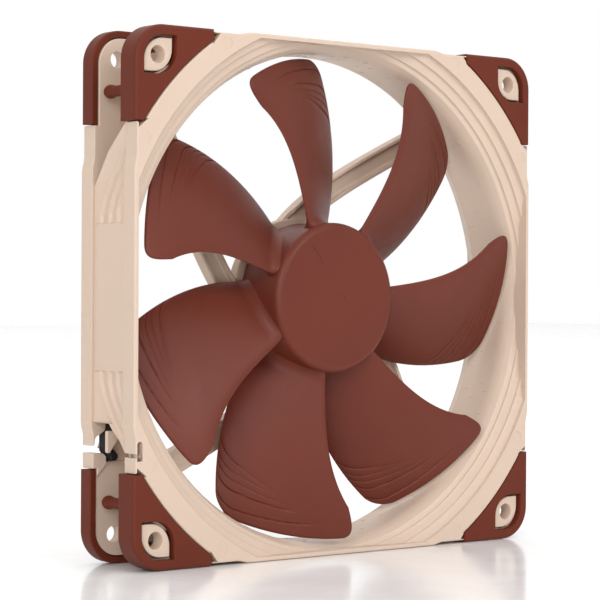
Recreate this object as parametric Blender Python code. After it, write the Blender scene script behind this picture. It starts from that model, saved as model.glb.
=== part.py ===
"""A 140 mm case fan, modelled piece by piece.

The fan stands on edge with its centre at the origin: X runs across it, Y is the rotor's axis with
the inlet towards -Y, and Z is up. The pieces are a moulded frame, eight corner pads, a seven-bladed
rotor on its shaft, the bearing and stator inside the hub, and a short lead with its connector.
"""

import math

import bmesh
import bpy
from mathutils import Matrix, Vector

# Every length below is in millimetres; the builders scale them to metres.
MM = 0.001
GAP = 0.3
# How far a cutting tool stands out of the face that it cuts
CLEAR = 1.0

# Frame
HALF = 70.0
EDGE_HALF = 69.3
FACE_Y = 12.5
FLANGE_INNER_Y = 7.2
SWELL_START = 36.6
SWELL_FULL = 32.6
FLANGE_ARC = 80.6
PAD_ARC = 80.9
DUCT_R = 67.3
DUCT_OUTER_R = 70.8
BORE_HALF = 68.8
BORE_PROFILE = [
    (0.0, -13.5), (74.85, -13.5), (74.85, -10.8), (72.4, -9.8), (70.25, -8.9), (DUCT_R, -6.8),
    (DUCT_R, 8.2), (70.2, 13.5), (0.0, 13.5),
]
DUCT_STEPS = 72
DUCT_HALF = 69.1
DUCT_INSET = 0.9
WALL_INNER = 66.0
WALL_OUTER = 69.2
WALL_OVERLAP = 0.4
WALL_FRONT_REACH = 44.6
WALL_REAR_REACH = 29.8

# The clip that holds the lead's anchor, in the lower half of the left side
CLIP_SIDE = 2
CLIP_TOP = 32.6
CLIP_EDGE = [(0.0, CLIP_TOP), (-1.8, 34.4), (-4.9, 36.7), (-7.3, 39.7)]
CLIP_OPENING = [
    (-65.2, -31.2), (-65.35, -33.6), (-65.6, -35.0), (-67.4, -36.1), (-68.2, -36.5), (-68.6, -37.3),
    (-68.7, -38.8), (-71.0, -38.8), (-71.0, -40.7), (-67.4, -40.75), (-66.0, -40.95), (-65.1, -41.7),
    (-65.1, -43.1), (-62.95, -43.1), (-62.2, -42.25), (-62.2, -41.15), (-63.25, -39.9), (-64.45, -39.9),
    (-64.6, -39.55), (-64.05, -38.3), (-63.95, -34.0), (-64.25, -31.2),
]
CLIP_POST = [(-69.0, -34.6), (-69.0, -40.2), (-68.4, -40.3), (-65.9, -37.0), (-60.0, -37.0), (-60.0, -34.6)]
CLIP_POST_FRONT = 0.9
CLIP_POST_BACK = 2.1
LEAD_RECESS = [
    (-64.3, -43.1), (-68.6, -47.55), (-68.6, -69.0), (-47.0, -69.0), (-47.0, -56.0), (-50.0, -53.3),
    (-53.0, -50.3), (-55.6, -47.3), (-58.8, -43.1),
]
LEAD_RECESS_DEPTH = 0.7

# Corner pads and the plates they sit on
PAD_END = 45.0
PAD_CORNER = 61.0
PAD_CORNER_R = 9.0
PAD_WALL = 1.8
PAD_PLATE = 2.0
PLATE_HALF = HALF - PAD_WALL - GAP
PAD_REACH = {-1: 7.1, 1: 5.0}
PLATE_REACH = 5.0
PLATE_LEG = 43.0
PLATE_INNER_R = 77.0
HOLE_PITCH = 62.25
HOLE_R = 2.2
LEAF_HALF = 4.4
LEAF_R = 6.0
BOSS_FACE = 11.3
BOSS_ROOT = 1.0
STEM_ALONG = 53.5
STEM_ACROSS = 65.9
STEM_R = 1.45
BULB_R = 1.85
BULB_Y = {-1: 4.7, 1: -2.9}
BULB_PROFILE = [(STEM_R, -1.2), (BULB_R, -0.6), (BULB_R, 0.8), (BULB_R * 0.6, 1.7), (0.0, BULB_R)]

# Struts: the centre line of each turns by STRUT_TURN / r + STRUT_PHASE degrees
STRUT_TURN = 1454.0
STRUT_PHASE = 23.1
STRUT_WIDTH = 6.7
STRUT_FRONT = 9.0
STRUT_BACK = 12.35
STRUT_INNER_R = 20.0
STRUT_OUTER_R = 69.0
CABLE_TURN = 180.0
CHANNEL_WIDTH = 5.2
CHANNEL_FLOOR = 10.6
CHANNEL_INNER_R = 18.3
CHANNEL_OUTER_R = 74.5
WELL_R = 2.6
WELL_PLACE_R = 19.0
BASE_R = 22.3
BASE_FRONT = 9.1
TUBE_R = 5.6
TUBE_BORE = 4.3
TUBE_FRONT = -4.8
BASE_FLOOR = 0.6
BASE_BACK = FACE_Y - 0.1
LABEL_R = 16.5
LABEL_RECESS = 0.5

# Impeller
BLADES = 7
HUB_R = 20.7
HUB_BORE = 19.3
HUB_FACE = -8.7
HUB_BACK = 8.4
HUB_ROOF = 1.8
HUB_ROUND = 1.2
BLADE_TIP = 66.2
BLADE_ROOT_R = HUB_R - 0.6
BLADE_SPAN_REF = 65.5
LEAD_ANGLE = (111.26, -2.84, 7.75, 7.98)
TRAIL_ANGLE = (65.26, 21.48, 0.53, -0.10)
LEAD_Y = (-5.58, -5.07, -0.93)
TRAIL_Y = (7.69, -1.23, -2.02)
CAMBER = (-1.14, -0.31)
TIP_FALL_LEAD = (0.229, 8.5)
TIP_FALL_TRAIL = (0.125, 5.3)
BLADE_THICK_ROOT = 2.0
BLADE_THICK_TIP = 1.2
BLADE_EDGE_SHARE = 0.45
BLADE_ROWS = 7
BLADE_COLUMNS = 7

# Rotor's inner parts; a ring is (inner radius, outer radius, front, back)
YOKE_R = 19.0
YOKE_WALL = 0.9
YOKE_EYE = 3.1
YOKE_FRONT = -6.6
YOKE_BACK = 6.8
RING_MAGNET = (15.9, 17.8, -4.6, 4.8)
HUB_BUSH_PROFILE = [(1.8, -6.6), (2.8, -6.6), (2.8, -5.4), (3.9, -5.4), (3.9, -3.7), (1.8, -3.7)]
SHAFT_R = 1.5
SHAFT_NECK_R = 1.0
SHAFT_PROFILE = [
    (0.0, -6.4), (SHAFT_R, -6.4), (SHAFT_R, 6.8), (SHAFT_NECK_R, 6.8), (SHAFT_NECK_R, 7.6), (SHAFT_R, 7.6),
    (1.2, 8.6), (0.0, 8.6),
]
SNAP_RING = (1.3, 2.3, 7.0, 7.4)
SNAP_RING_SPLIT = 1.0

# Bearing
BEARING_SHELL = (2.9, 4.0, -3.2, 9.2)
BEARING_BUSH = (1.6, 2.6, -1.4, 5.4)
OIL_SEAL = (1.8, 2.6, -2.6, -1.7)
STABILISER_MAGNET = (1.8, 2.6, 5.7, 6.6)
THRUST_PAD_R = 2.5
THRUST_PAD_FRONT = 8.9
THRUST_PAD_BACK = 9.4

# Stator
POLES = 4
CORE_HUB = (5.9, 7.4)
CORE_ARM = 4.0
CORE_SHOE = (13.2, 15.3, 37.0)
CORE_HALF = 2.6
INSULATOR_ARM = 4.6
INSULATOR_SHOE = (13.2, 14.6, 30.0)
INSULATOR_INNER = 2.9
INSULATOR_OUTER = 4.0
COIL_INNER_R = 7.9
COIL_LENGTH = 4.1
COIL_HALF_WIDTH = 4.5
COIL_HALF_DEPTH = 5.1
COIL_CHAMFER_WIDTH = 1.0
COIL_CHAMFER_DEPTH = 1.2
COIL_HOLE_HALF_WIDTH = 2.6
COIL_HOLE_HALF_DEPTH = 4.3
PIN_R = 0.35
PIN_PLACE_R = 6.7
PIN_FRONT = 4.3
PIN_BACK = 7.1
CIRCUIT_BOARD = (6.0, 17.4, 7.4, 8.6)
BOARD_PARTS = {
    "driver_chip": ((-13.4, 5.8, 6.6), (-9.0, 7.1, 10.6), "black_plastic"),
    "hall_sensor": ((9.6, 5.2, 9.6), (12.0, 7.1, 11.4), "black_plastic"),
    "capacitor": ((8.0, 5.7, -11.6), (10.2, 7.1, -8.4), "ceramic"),
    "resistor": ((-11.0, 6.2, -9.8), (-9.0, 7.1, -8.6), "black_plastic"),
}

# Lead
RIBBON_WIDTH = 4.4
RIBBON_THICK = 1.3
RIBBON_OUTER_R = 71.6
DROP_R = 1.6
DROP_FRONT = 8.95
ANCHOR_PATH = [(-53.2, -53.2), (-58.5, -48.5), (-62.4, -43.9), (-63.4, -41.8)]
ANCHOR_HALF = 1.6
ANCHOR_FRONT = 9.3
ANCHOR_BACK = 12.2
ANCHOR_PLUG = [
    (-64.9, -31.6), (-65.0, -33.7), (-65.75, -35.7), (-65.7, -40.3), (-64.75, -41.5), (-64.75, -42.8),
    (-63.2, -42.8), (-62.55, -42.1), (-62.55, -41.3), (-63.4, -40.25), (-64.7, -40.25), (-65.0, -39.6),
    (-64.4, -38.3), (-64.3, -34.0), (-64.6, -31.6),
]
ANCHOR_PLUG_FRONT = 5.5
ANCHOR_PLUG_BACK = 10.0
BOOT_R = 2.2
BOOT_TIP_R = 1.75
LEAD_D = 3.4
BOOT_X = -53.2
BOOT_Z = -53.2
BOOT_BACK = 15.0
FLOOR = -HALF
COIL_X = -26.0
COIL_Y = 30.6
COIL_MID_R = 15.5
COIL_ROUND = 0.9
TIE_BAND = 0.5
TIE_HALF_WIDTH = 1.3
COIL_BOTTOM = FLOOR + TIE_BAND + GAP
PLUG_LENGTH = 11.5
PLUG_WIDTH = 10.2
PLUG_HEIGHT = 5.8
PLUG_BACK_X = -30.0
PLUG_Y = 30.8
RAIL_HEIGHT = 1.2
RAIL_HALF_WIDTH = 0.6
RAIL_PLACES = (-3.2, 1.6)
CONTACTS = 4
CONTACT_PITCH = 2.54
SOCKET_DEPTH = 8.0
SOCKET_HALF_WIDTH = 0.9
SOCKET_LOW = 1.4
SOCKET_HIGH = 3.2
CONTACT_SLIT_DEPTH = 5.0
CONTACT_SLIT_HALF = 0.3
LEAD_ROUTE = [
    (-53.2, 15.3, -53.2), (-53.2, 16.6, -53.2), (-53.0, 18.2, -53.6), (-52.6, 19.3, -54.6),
    (-52.0, 20.1, -55.8), (-51.2, 20.5, -57.4), (-50.2, 20.8, -59.0), (-49.1, 21.2, -60.6),
    (-48.0, 21.6, -62.0), (-46.9, 22.3, -63.1), (-45.8, 23.3, -63.8), (-44.6, 24.9, -64.1),
]
TAIL_ROUTE = [
    (-37.1, 27.9, -67.4), (-36.5, 28.6, -67.3), (-35.4, 29.6, -67.2), (-34.0, 30.3, -67.1),
    (-32.4, 30.7, -67.1), (-30.3, 30.8, -67.1),
]

COLOURS = {
    "sand_plastic": ((0.66, 0.53, 0.42), 0.45, 0.0),
    "brown_plastic": ((0.16, 0.034, 0.020), 0.42, 0.0),
    "brown_rubber": ((0.15, 0.029, 0.014), 0.6, 0.0),
    "steel": ((0.48, 0.48, 0.49), 0.35, 1.0),
    "magnet": ((0.05, 0.05, 0.055), 0.6, 0.3),
    "brass": ((0.68, 0.50, 0.22), 0.32, 1.0),
    "bronze": ((0.42, 0.28, 0.15), 0.55, 1.0),
    "copper": ((0.72, 0.30, 0.14), 0.3, 1.0),
    "laminate": ((0.30, 0.31, 0.33), 0.5, 1.0),
    "cream_plastic": ((0.72, 0.70, 0.64), 0.5, 0.0),
    "board": ((0.02, 0.14, 0.06), 0.5, 0.0),
    "black_plastic": ((0.012, 0.012, 0.013), 0.5, 0.0),
    "black_rubber": ((0.014, 0.013, 0.013), 0.7, 0.0),
    "ceramic": ((0.42, 0.30, 0.20), 0.5, 0.0),
    "paper": ((0.70, 0.66, 0.60), 0.7, 0.0),
    "tin": ((0.72, 0.71, 0.68), 0.3, 1.0),
}


def clear_scene():
    for item in list(bpy.data.objects):
        bpy.data.objects.remove(item, do_unlink=True)


def material(name):
    """The shared material of this name, made on first use."""
    found = bpy.data.materials.get(name)
    if found:
        return found
    colour, roughness, metallic = COLOURS[name]
    made = bpy.data.materials.new(name)
    made.use_nodes = True
    shader = made.node_tree.nodes["Principled BSDF"]
    shader.inputs["Base Color"].default_value = (*colour, 1.0)
    shader.inputs["Roughness"].default_value = roughness
    shader.inputs["Metallic"].default_value = metallic
    made.diffuse_color = (*colour, 1.0)
    return made


def solid(name, bm):
    """Close a bmesh drawn in millimetres into a named object in metres."""
    bmesh.ops.recalc_face_normals(bm, faces=bm.faces)
    mesh = bpy.data.meshes.new(name)
    bmesh.ops.scale(bm, verts=bm.verts, vec=(MM, MM, MM))
    bm.to_mesh(mesh)
    bm.free()
    item = bpy.data.objects.new(name, mesh)
    bpy.context.scene.collection.objects.link(item)
    return item


def finish(item, material_name, smooth=True, sharp_degrees=35.0):
    """Give a finished piece its own single material and its shading."""
    item.data.materials.clear()
    item.data.materials.append(material(material_name))
    if smooth:
        item.data.shade_smooth()
        item.data.set_sharp_from_angle(angle=math.radians(sharp_degrees))
    return item


def combine(target, tool, operation):
    """Join, cut or intersect two closed solids and keep the result in target."""
    modifier = target.modifiers.new(operation, "BOOLEAN")
    modifier.operation = operation
    modifier.object = tool
    graph = bpy.context.evaluated_depsgraph_get()
    mesh = bpy.data.meshes.new_from_object(target.evaluated_get(graph))
    mesh.name = target.name
    target.modifiers.clear()
    target.data = mesh
    bpy.data.objects.remove(tool, do_unlink=True)
    return target


def prism(name, outline, y_low, y_high):
    """An (x, z) outline swept along Y."""
    bm = bmesh.new()
    corners = [bm.verts.new((x, y_low, z)) for x, z in outline]
    cap = bm.faces.new(corners)
    grown = bmesh.ops.extrude_face_region(bm, geom=[cap])
    moved = [part for part in grown["geom"] if isinstance(part, bmesh.types.BMVert)]
    bmesh.ops.translate(bm, verts=moved, vec=(0.0, y_high - y_low, 0.0))
    return solid(name, bm)


def block(name, low, high):
    """An axis-aligned box between two corners."""
    bm = bmesh.new()
    size = [high[axis] - low[axis] for axis in range(3)]
    middle = [(high[axis] + low[axis]) / 2 for axis in range(3)]
    place = Matrix.Translation(middle) @ Matrix.Diagonal((*size, 1.0))
    bmesh.ops.create_cube(bm, size=1.0, matrix=place)
    return solid(name, bm)


def turned(name, profile, steps, centre=(0.0, 0.0, 0.0), axis=(0.0, 1.0, 0.0)):
    """A closed (radius, height) profile spun about an axis through centre."""
    bm = bmesh.new()
    upright = Vector(axis)
    sideways = Vector((1.0, 0.0, 0.0))
    verts = [bm.verts.new(Vector(centre) + sideways * r + upright * h) for r, h in profile]
    edges = []
    for index, vert in enumerate(verts):
        following = verts[(index + 1) % len(verts)]
        on_axis = profile[index][0] == 0.0 and profile[(index + 1) % len(verts)][0] == 0.0
        if not on_axis:
            edges.append(bm.edges.new((vert, following)))
    bmesh.ops.spin(
        bm, geom=verts + edges, cent=centre, axis=axis, dvec=(0.0, 0.0, 0.0),
        angle=2 * math.pi, steps=steps, use_merge=True, use_duplicate=False,
    )
    bmesh.ops.remove_doubles(bm, verts=bm.verts, dist=1e-4)
    return solid(name, bm)


def ring(name, inner, outer, y_low, y_high, steps=32):
    """A plain tube about the rotor's axis."""
    return turned(name, [(inner, y_low), (outer, y_low), (outer, y_high), (inner, y_high)], steps)


def cylinder(name, x, z, radius, y_low, y_high, steps=24):
    """A rod along Y."""
    return turned(name, [(0.0, y_low), (radius, y_low), (radius, y_high), (0.0, y_high)], steps, (x, 0.0, z))


def arc(x, z, radius, start, end, steps):
    """Points on a circle in the XZ plane, from one angle to another in degrees."""
    points = []
    for index in range(steps + 1):
        angle = math.radians(start + (end - start) * index / steps)
        points.append((x + radius * math.cos(angle), z + radius * math.sin(angle)))
    return points


def quarter_turn(points, quarters):
    """The points turned about the rotor's axis by a number of right angles."""
    turned_points = list(points)
    for _ in range(quarters):
        turned_points = [(-z, x) for x, z in turned_points]
    return turned_points


def reach_on_arc(radius, across):
    """How far along an edge a circle about the axis is, where it is this far across."""
    return math.sqrt(radius * radius - across * across)


def flange_outline():
    """The square flange, swollen along the middle of each side and cut back to an arc at its corners."""
    notch = PAD_END - GAP
    inner = reach_on_arc(FLANGE_ARC, PLATE_HALF)
    start = math.degrees(math.atan2(inner, PLATE_HALF))
    one_side = [
        (PLATE_HALF, -notch), (EDGE_HALF, -notch), (EDGE_HALF, -SWELL_START), (HALF, -SWELL_FULL),
        (HALF, SWELL_FULL), (EDGE_HALF, SWELL_START), (EDGE_HALF, notch), (PLATE_HALF, notch),
    ]
    one_side += arc(0.0, 0.0, FLANGE_ARC, start, 90.0 - start, 8)
    outline = []
    for quarters in range(4):
        outline += quarter_turn(one_side, quarters)
    return outline


def corner_signs():
    return [(-1, 1), (1, 1), (-1, -1), (1, -1)]


def mirrored(points, sign_x, sign_z):
    """Points of the upper right corner moved to another corner."""
    return [(x * sign_x, z * sign_z) for x, z in points]


def corner_plate_outline():
    """The thinner corner of a flange that a pad wraps round."""
    rim = PAD_CORNER_R - PAD_WALL - GAP
    start = math.degrees(math.asin(PLATE_LEG / PLATE_INNER_R))
    outline = [(PLATE_HALF, PLATE_LEG)]
    outline += arc(PAD_CORNER, PAD_CORNER, rim, 0.0, 90.0, 4)
    outline += [(PLATE_LEG, PLATE_HALF)]
    outline += arc(0.0, 0.0, PLATE_INNER_R, 90.0 - start, start, 4)
    return outline


def pad_outline():
    """A pad seen from the front: two legs and a hollow arc between them."""
    leg = reach_on_arc(PAD_ARC, PAD_END)
    start = math.degrees(math.atan2(PAD_END, leg))
    outline = [(HALF, PAD_END)]
    outline += arc(PAD_CORNER, PAD_CORNER, PAD_CORNER_R, 0.0, 90.0, 6)
    outline += [(PAD_END, HALF)]
    outline += arc(0.0, 0.0, PAD_ARC, 90.0 - start, start, 8)
    return outline


def pad_wall_outline():
    """The rim of a pad, which covers the flange's outer edge."""
    inside = HALF - PAD_WALL
    outline = [(inside, PAD_END), (HALF, PAD_END)]
    outline += arc(PAD_CORNER, PAD_CORNER, PAD_CORNER_R, 0.0, 90.0, 6)
    outline += [(PAD_END, HALF), (PAD_END, inside)]
    outline += arc(PAD_CORNER, PAD_CORNER, PAD_CORNER_R - PAD_WALL, 90.0, 0.0, 6)
    return outline


def leaf_outline(half):
    """The boss round a mounting hole: two opposite corners rounded, two sharp."""
    low = HOLE_PITCH - half
    high = HOLE_PITCH + half
    outline = arc(high - LEAF_R, high - LEAF_R, LEAF_R, 0.0, 90.0, 4)
    outline += [(low, high)]
    outline += arc(low + LEAF_R, low + LEAF_R, LEAF_R, 180.0, 270.0, 4)
    outline += [(high, low)]
    return outline


def strut_point(radius, turn, offset=0.0):
    """A point of a strut's centre line, or beside it by offset."""
    angle = math.radians(STRUT_PHASE + STRUT_TURN / radius + turn)
    slope = -math.radians(STRUT_TURN) / (radius * radius)
    along = Vector((math.cos(angle), math.sin(angle))) + radius * slope * Vector(
        (-math.sin(angle), math.cos(angle))
    )
    along.normalize()
    place = radius * Vector((math.cos(angle), math.sin(angle)))
    side = Vector((-along.y, along.x))
    point = place + side * offset
    return (point.x, point.y)


def strut_outline(turn, width, start_r, end_r, steps=9):
    """The band that a strut or its channel covers, from one radius to another."""
    left = []
    right = []
    for index in range(steps + 1):
        radius = start_r + (end_r - start_r) * index / steps
        left.append(strut_point(radius, turn, width / 2))
        right.append(strut_point(radius, turn, -width / 2))
    return left + right[::-1]


def side_wall(quarters):
    """The closed wall between the flanges on one side, longer at the front than at the rear."""
    front = -FLANGE_INNER_Y - WALL_OVERLAP
    rear = FLANGE_INNER_Y + WALL_OVERLAP
    outline = [(front, -WALL_FRONT_REACH), (rear, -WALL_REAR_REACH)]
    if quarters == CLIP_SIDE:
        outline += [(rear, CLIP_TOP)] + CLIP_EDGE + [(front, CLIP_EDGE[-1][1])]
    else:
        outline += [(rear, WALL_REAR_REACH), (front, WALL_FRONT_REACH)]
    bm = bmesh.new()
    cap = bm.faces.new([bm.verts.new((WALL_INNER, y, z)) for y, z in outline])
    grown = bmesh.ops.extrude_face_region(bm, geom=[cap])
    moved = [part for part in grown["geom"] if isinstance(part, bmesh.types.BMVert)]
    bmesh.ops.translate(bm, verts=moved, vec=(WALL_OUTER - WALL_INNER, 0.0, 0.0))
    turn = Matrix.Rotation(-math.radians(90.0 * quarters), 3, "Y")
    bmesh.ops.rotate(bm, verts=bm.verts, cent=(0.0, 0.0, 0.0), matrix=turn)
    return solid("wall", bm)


def make_frame():
    """The moulded housing: two flanges, the duct between them, four struts and the motor base."""
    frame = prism("frame", flange_outline(), -FACE_Y, -FLANGE_INNER_Y)
    combine(frame, prism("rear_flange", flange_outline(), FLANGE_INNER_Y, FACE_Y), "UNION")
    duct = ring("duct", WALL_INNER, DUCT_OUTER_R, DUCT_INSET - FACE_Y, FACE_Y - DUCT_INSET, DUCT_STEPS)
    square = block("square", (-DUCT_HALF, -FACE_Y, -DUCT_HALF), (DUCT_HALF, FACE_Y, DUCT_HALF))
    combine(duct, square, "INTERSECT")
    combine(frame, duct, "UNION")
    for quarters in range(4):
        combine(frame, side_wall(quarters), "UNION")
    add_corners(frame)
    bore = turned("bore", BORE_PROFILE, DUCT_STEPS)
    reach = FACE_Y + 2 * CLEAR
    limit = block("limit", (-BORE_HALF, -reach, -BORE_HALF), (BORE_HALF, reach, BORE_HALF))
    combine(bore, limit, "INTERSECT")
    combine(frame, bore, "DIFFERENCE")
    add_motor_base(frame)
    cut_holes(frame)
    cut_cable_way(frame)
    return finish(frame, "sand_plastic")


def add_corners(frame):
    """The thin corner plates of both flanges, with a leaf-shaped boss on each."""
    for face in (-1, 1):
        plate_face = FACE_Y - PAD_PLATE - GAP
        plate_inner = FACE_Y - PLATE_REACH
        for sign_x, sign_z in corner_signs():
            plate = mirrored(corner_plate_outline(), sign_x, sign_z)
            combine(frame, slab("plate", plate, face, plate_inner, plate_face), "UNION")
            leaf = mirrored(leaf_outline(LEAF_HALF), sign_x, sign_z)
            combine(frame, slab("boss", leaf, face, plate_face - BOSS_ROOT, BOSS_FACE), "UNION")


def slab(name, outline, face, inner, outer):
    """A prism between two distances from the middle plane, on the front (-1) or the rear (1)."""
    return prism(name, outline, min(face * inner, face * outer), max(face * inner, face * outer))


def add_motor_base(frame):
    """The round base that carries the motor, its bearing tube and the four swept struts."""
    for quarters in range(4):
        outline = strut_outline(90.0 * quarters, STRUT_WIDTH, STRUT_INNER_R, STRUT_OUTER_R)
        combine(frame, prism("strut", outline, STRUT_FRONT, STRUT_BACK), "UNION")
    floor = BASE_FRONT + BASE_FLOOR
    recess = BASE_BACK - LABEL_RECESS
    profile = [
        (0.0, floor), (TUBE_BORE, floor), (TUBE_BORE, TUBE_FRONT), (TUBE_R, TUBE_FRONT), (TUBE_R, BASE_FRONT),
        (BASE_R, BASE_FRONT), (BASE_R, BASE_BACK), (LABEL_R + GAP, BASE_BACK), (LABEL_R + GAP, recess),
        (0.0, recess),
    ]
    combine(frame, turned("base", profile, 40), "UNION")


def cut_holes(frame):
    """The mounting holes and the holes that the pads' stems pass through."""
    inner = FACE_Y - PLATE_REACH - CLEAR
    outer = FACE_Y + CLEAR
    for sign_x, sign_z in corner_signs():
        for face in (-1, 1):
            low, high = sorted((face * inner, face * outer))
            hole = cylinder("hole", HOLE_PITCH * sign_x, HOLE_PITCH * sign_z, HOLE_R, low, high, 16)
            combine(frame, hole, "DIFFERENCE")
            stem_x, stem_z = stem_place(face, sign_x, sign_z)
            combine(frame, cylinder("hole", stem_x, stem_z, STEM_R + GAP, low, high, 12), "DIFFERENCE")


def stem_place(face, sign_x, sign_z):
    """Front pads have their stem on the upright leg, rear pads on the level one."""
    if face < 0:
        return STEM_ACROSS * sign_x, STEM_ALONG * sign_z
    return STEM_ALONG * sign_x, STEM_ACROSS * sign_z


def well_place():
    """Where the wires drop through the motor base into the strut's channel."""
    x, z = strut_point(WELL_PLACE_R - 1.4, CABLE_TURN)
    outward = Vector((x, z)).normalized() * WELL_PLACE_R
    return outward.x, outward.y


def band_outline(path, half):
    """A band of even width along a path."""
    left = []
    right = []
    for index, (x, z) in enumerate(path):
        back = Vector(path[max(index - 1, 0)])
        ahead = Vector(path[min(index + 1, len(path) - 1)])
        along = (ahead - back).normalized()
        left.append((x - along.y * half, z + along.x * half))
        right.append((x + along.y * half, z - along.x * half))
    return left + right[::-1]


def cut_cable_way(frame):
    """The channel behind the lower left strut, the groove to the clip, the clip's opening and its post."""
    outer = FACE_Y + CLEAR
    channel = strut_outline(CABLE_TURN, CHANNEL_WIDTH, CHANNEL_INNER_R, CHANNEL_OUTER_R)
    combine(frame, prism("channel", channel, CHANNEL_FLOOR, outer), "DIFFERENCE")
    well_x, well_z = well_place()
    combine(frame, cylinder("well", well_x, well_z, WELL_R, BASE_FRONT - CLEAR, outer, 16), "DIFFERENCE")
    floor = ANCHOR_FRONT - GAP
    groove = prism("groove", band_outline(ANCHOR_PATH, ANCHOR_HALF + GAP), floor, outer)
    combine(frame, groove, "DIFFERENCE")
    combine(frame, cylinder("boot_hole", BOOT_X, BOOT_Z, BOOT_R + GAP, floor, outer), "DIFFERENCE")
    combine(frame, prism("opening", CLIP_OPENING, FLANGE_INNER_Y - CLEAR, outer), "DIFFERENCE")
    combine(frame, prism("post", CLIP_POST, CLIP_POST_FRONT, CLIP_POST_BACK), "UNION")
    recess_floor = FLANGE_INNER_Y + LEAD_RECESS_DEPTH
    combine(frame, prism("lead_recess", LEAD_RECESS, FLANGE_INNER_Y - CLEAR, recess_floor), "DIFFERENCE")


def make_pad(face, sign_x, sign_z, name):
    """A soft corner pad: plate, rim, window for the boss, and a stem with a bulb."""
    middle = FACE_Y - PAD_PLATE / 2
    pad = slab(name, mirrored(pad_outline(), sign_x, sign_z), face, FACE_Y - PAD_PLATE, FACE_Y)
    rim = mirrored(pad_wall_outline(), sign_x, sign_z)
    combine(pad, slab("rim", rim, face, FACE_Y - PAD_REACH[face], middle), "UNION")
    window = mirrored(leaf_outline(LEAF_HALF + 2 * GAP), sign_x, sign_z)
    combine(pad, slab("window", window, face, FACE_Y - PAD_PLATE - CLEAR, FACE_Y + CLEAR), "DIFFERENCE")
    stem_x, stem_z = stem_place(face, sign_x, sign_z)
    profile = [(0.0, face * middle), (STEM_R, face * middle)]
    profile += [(radius, BULB_Y[face] - face * along) for radius, along in BULB_PROFILE]
    combine(pad, turned("stem", profile, 10, (stem_x, 0.0, stem_z)), "UNION")
    return finish(pad, "brown_rubber")


def make_pads():
    places = {(-1, 1): "upper_left", (1, 1): "upper_right", (-1, -1): "lower_left", (1, -1): "lower_right"}
    for face, side in ((-1, "front"), (1, "rear")):
        for signs, place in places.items():
            make_pad(face, signs[0], signs[1], f"{side}_pad_{place}")


def polynomial(terms, value):
    return sum(term * value ** power for power, term in enumerate(terms))


def blade_point(span, chord, side):
    """A point on the front (side -1) or rear (side 1) skin of the first blade, before its turn."""
    lead_fall = TIP_FALL_LEAD[1] * max(0.0, 1.0 - chord / TIP_FALL_LEAD[0]) ** 2.5
    into_corner = max(0.0, 1.0 - (1.0 - chord) / TIP_FALL_TRAIL[0])
    trail_fall = TIP_FALL_TRAIL[1] * (1.0 - math.sqrt(1.0 - into_corner ** 2))
    radius = BLADE_ROOT_R + (BLADE_TIP - lead_fall - trail_fall - BLADE_ROOT_R) * span
    outward = (radius - HUB_R) / (BLADE_SPAN_REF - HUB_R)
    lead = polynomial(LEAD_ANGLE, outward)
    trail = polynomial(TRAIL_ANGLE, outward)
    angle = math.radians(lead + (trail - lead) * chord)
    lead_y = polynomial(LEAD_Y, outward)
    trail_y = polynomial(TRAIL_Y, outward)
    y = lead_y + (trail_y - lead_y) * chord + polynomial(CAMBER, outward) * 4.0 * chord * (1.0 - chord)
    thick = BLADE_THICK_ROOT + (BLADE_THICK_TIP - BLADE_THICK_ROOT) * span
    thick *= BLADE_EDGE_SHARE + (1.0 - BLADE_EDGE_SHARE) * math.sin(math.pi * chord) ** 0.6
    arc_length = radius * math.radians(lead - trail)
    pitch = math.atan2(trail_y - lead_y, arc_length)
    angle += side * thick / 2 * math.sin(pitch) / radius
    y += side * thick / 2 * math.cos(pitch)
    return Vector((radius * math.cos(angle), y, radius * math.sin(angle)))


def make_blade(number):
    """One blade as a closed skin, its root buried in the hub's wall."""
    bm = bmesh.new()
    turn = Matrix.Rotation(-2.0 * math.pi * number / BLADES, 3, "Y")
    skins = []
    for side in (-1, 1):
        skin = []
        for row in range(BLADE_ROWS):
            line = []
            for column in range(BLADE_COLUMNS):
                chord = 0.5 - 0.5 * math.cos(math.pi * column / (BLADE_COLUMNS - 1))
                point = turn @ blade_point(row / (BLADE_ROWS - 1), chord, side)
                line.append(bm.verts.new(point))
            skin.append(line)
        skins.append(skin)
    for skin in skins:
        for row in range(BLADE_ROWS - 1):
            for column in range(BLADE_COLUMNS - 1):
                bm.faces.new((skin[row][column], skin[row][column + 1], skin[row + 1][column + 1],
                              skin[row + 1][column]))
    border = [(row, 0) for row in range(BLADE_ROWS)]
    border += [(BLADE_ROWS - 1, column) for column in range(1, BLADE_COLUMNS)]
    border += [(row, BLADE_COLUMNS - 1) for row in range(BLADE_ROWS - 2, -1, -1)]
    border += [(0, column) for column in range(BLADE_COLUMNS - 2, 0, -1)]
    for index, (row, column) in enumerate(border):
        next_row, next_column = border[(index + 1) % len(border)]
        bm.faces.new((skins[0][row][column], skins[0][next_row][next_column],
                      skins[1][next_row][next_column], skins[1][row][column]))
    return solid("blade", bm)


def make_impeller():
    """The hub cup and its seven blades, one moulding."""
    profile = [
        (0.0, HUB_FACE), (HUB_R - HUB_ROUND, HUB_FACE), (HUB_R - 0.3 * HUB_ROUND, HUB_FACE + 0.3 * HUB_ROUND),
        (HUB_R, HUB_FACE + HUB_ROUND), (HUB_R, HUB_BACK), (HUB_BORE, HUB_BACK),
        (HUB_BORE, HUB_FACE + HUB_ROOF), (0.0, HUB_FACE + HUB_ROOF),
    ]
    impeller = turned("impeller", profile, 56)
    for number in range(BLADES):
        combine(impeller, make_blade(number), "UNION")
    return finish(impeller, "brown_plastic")


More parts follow.
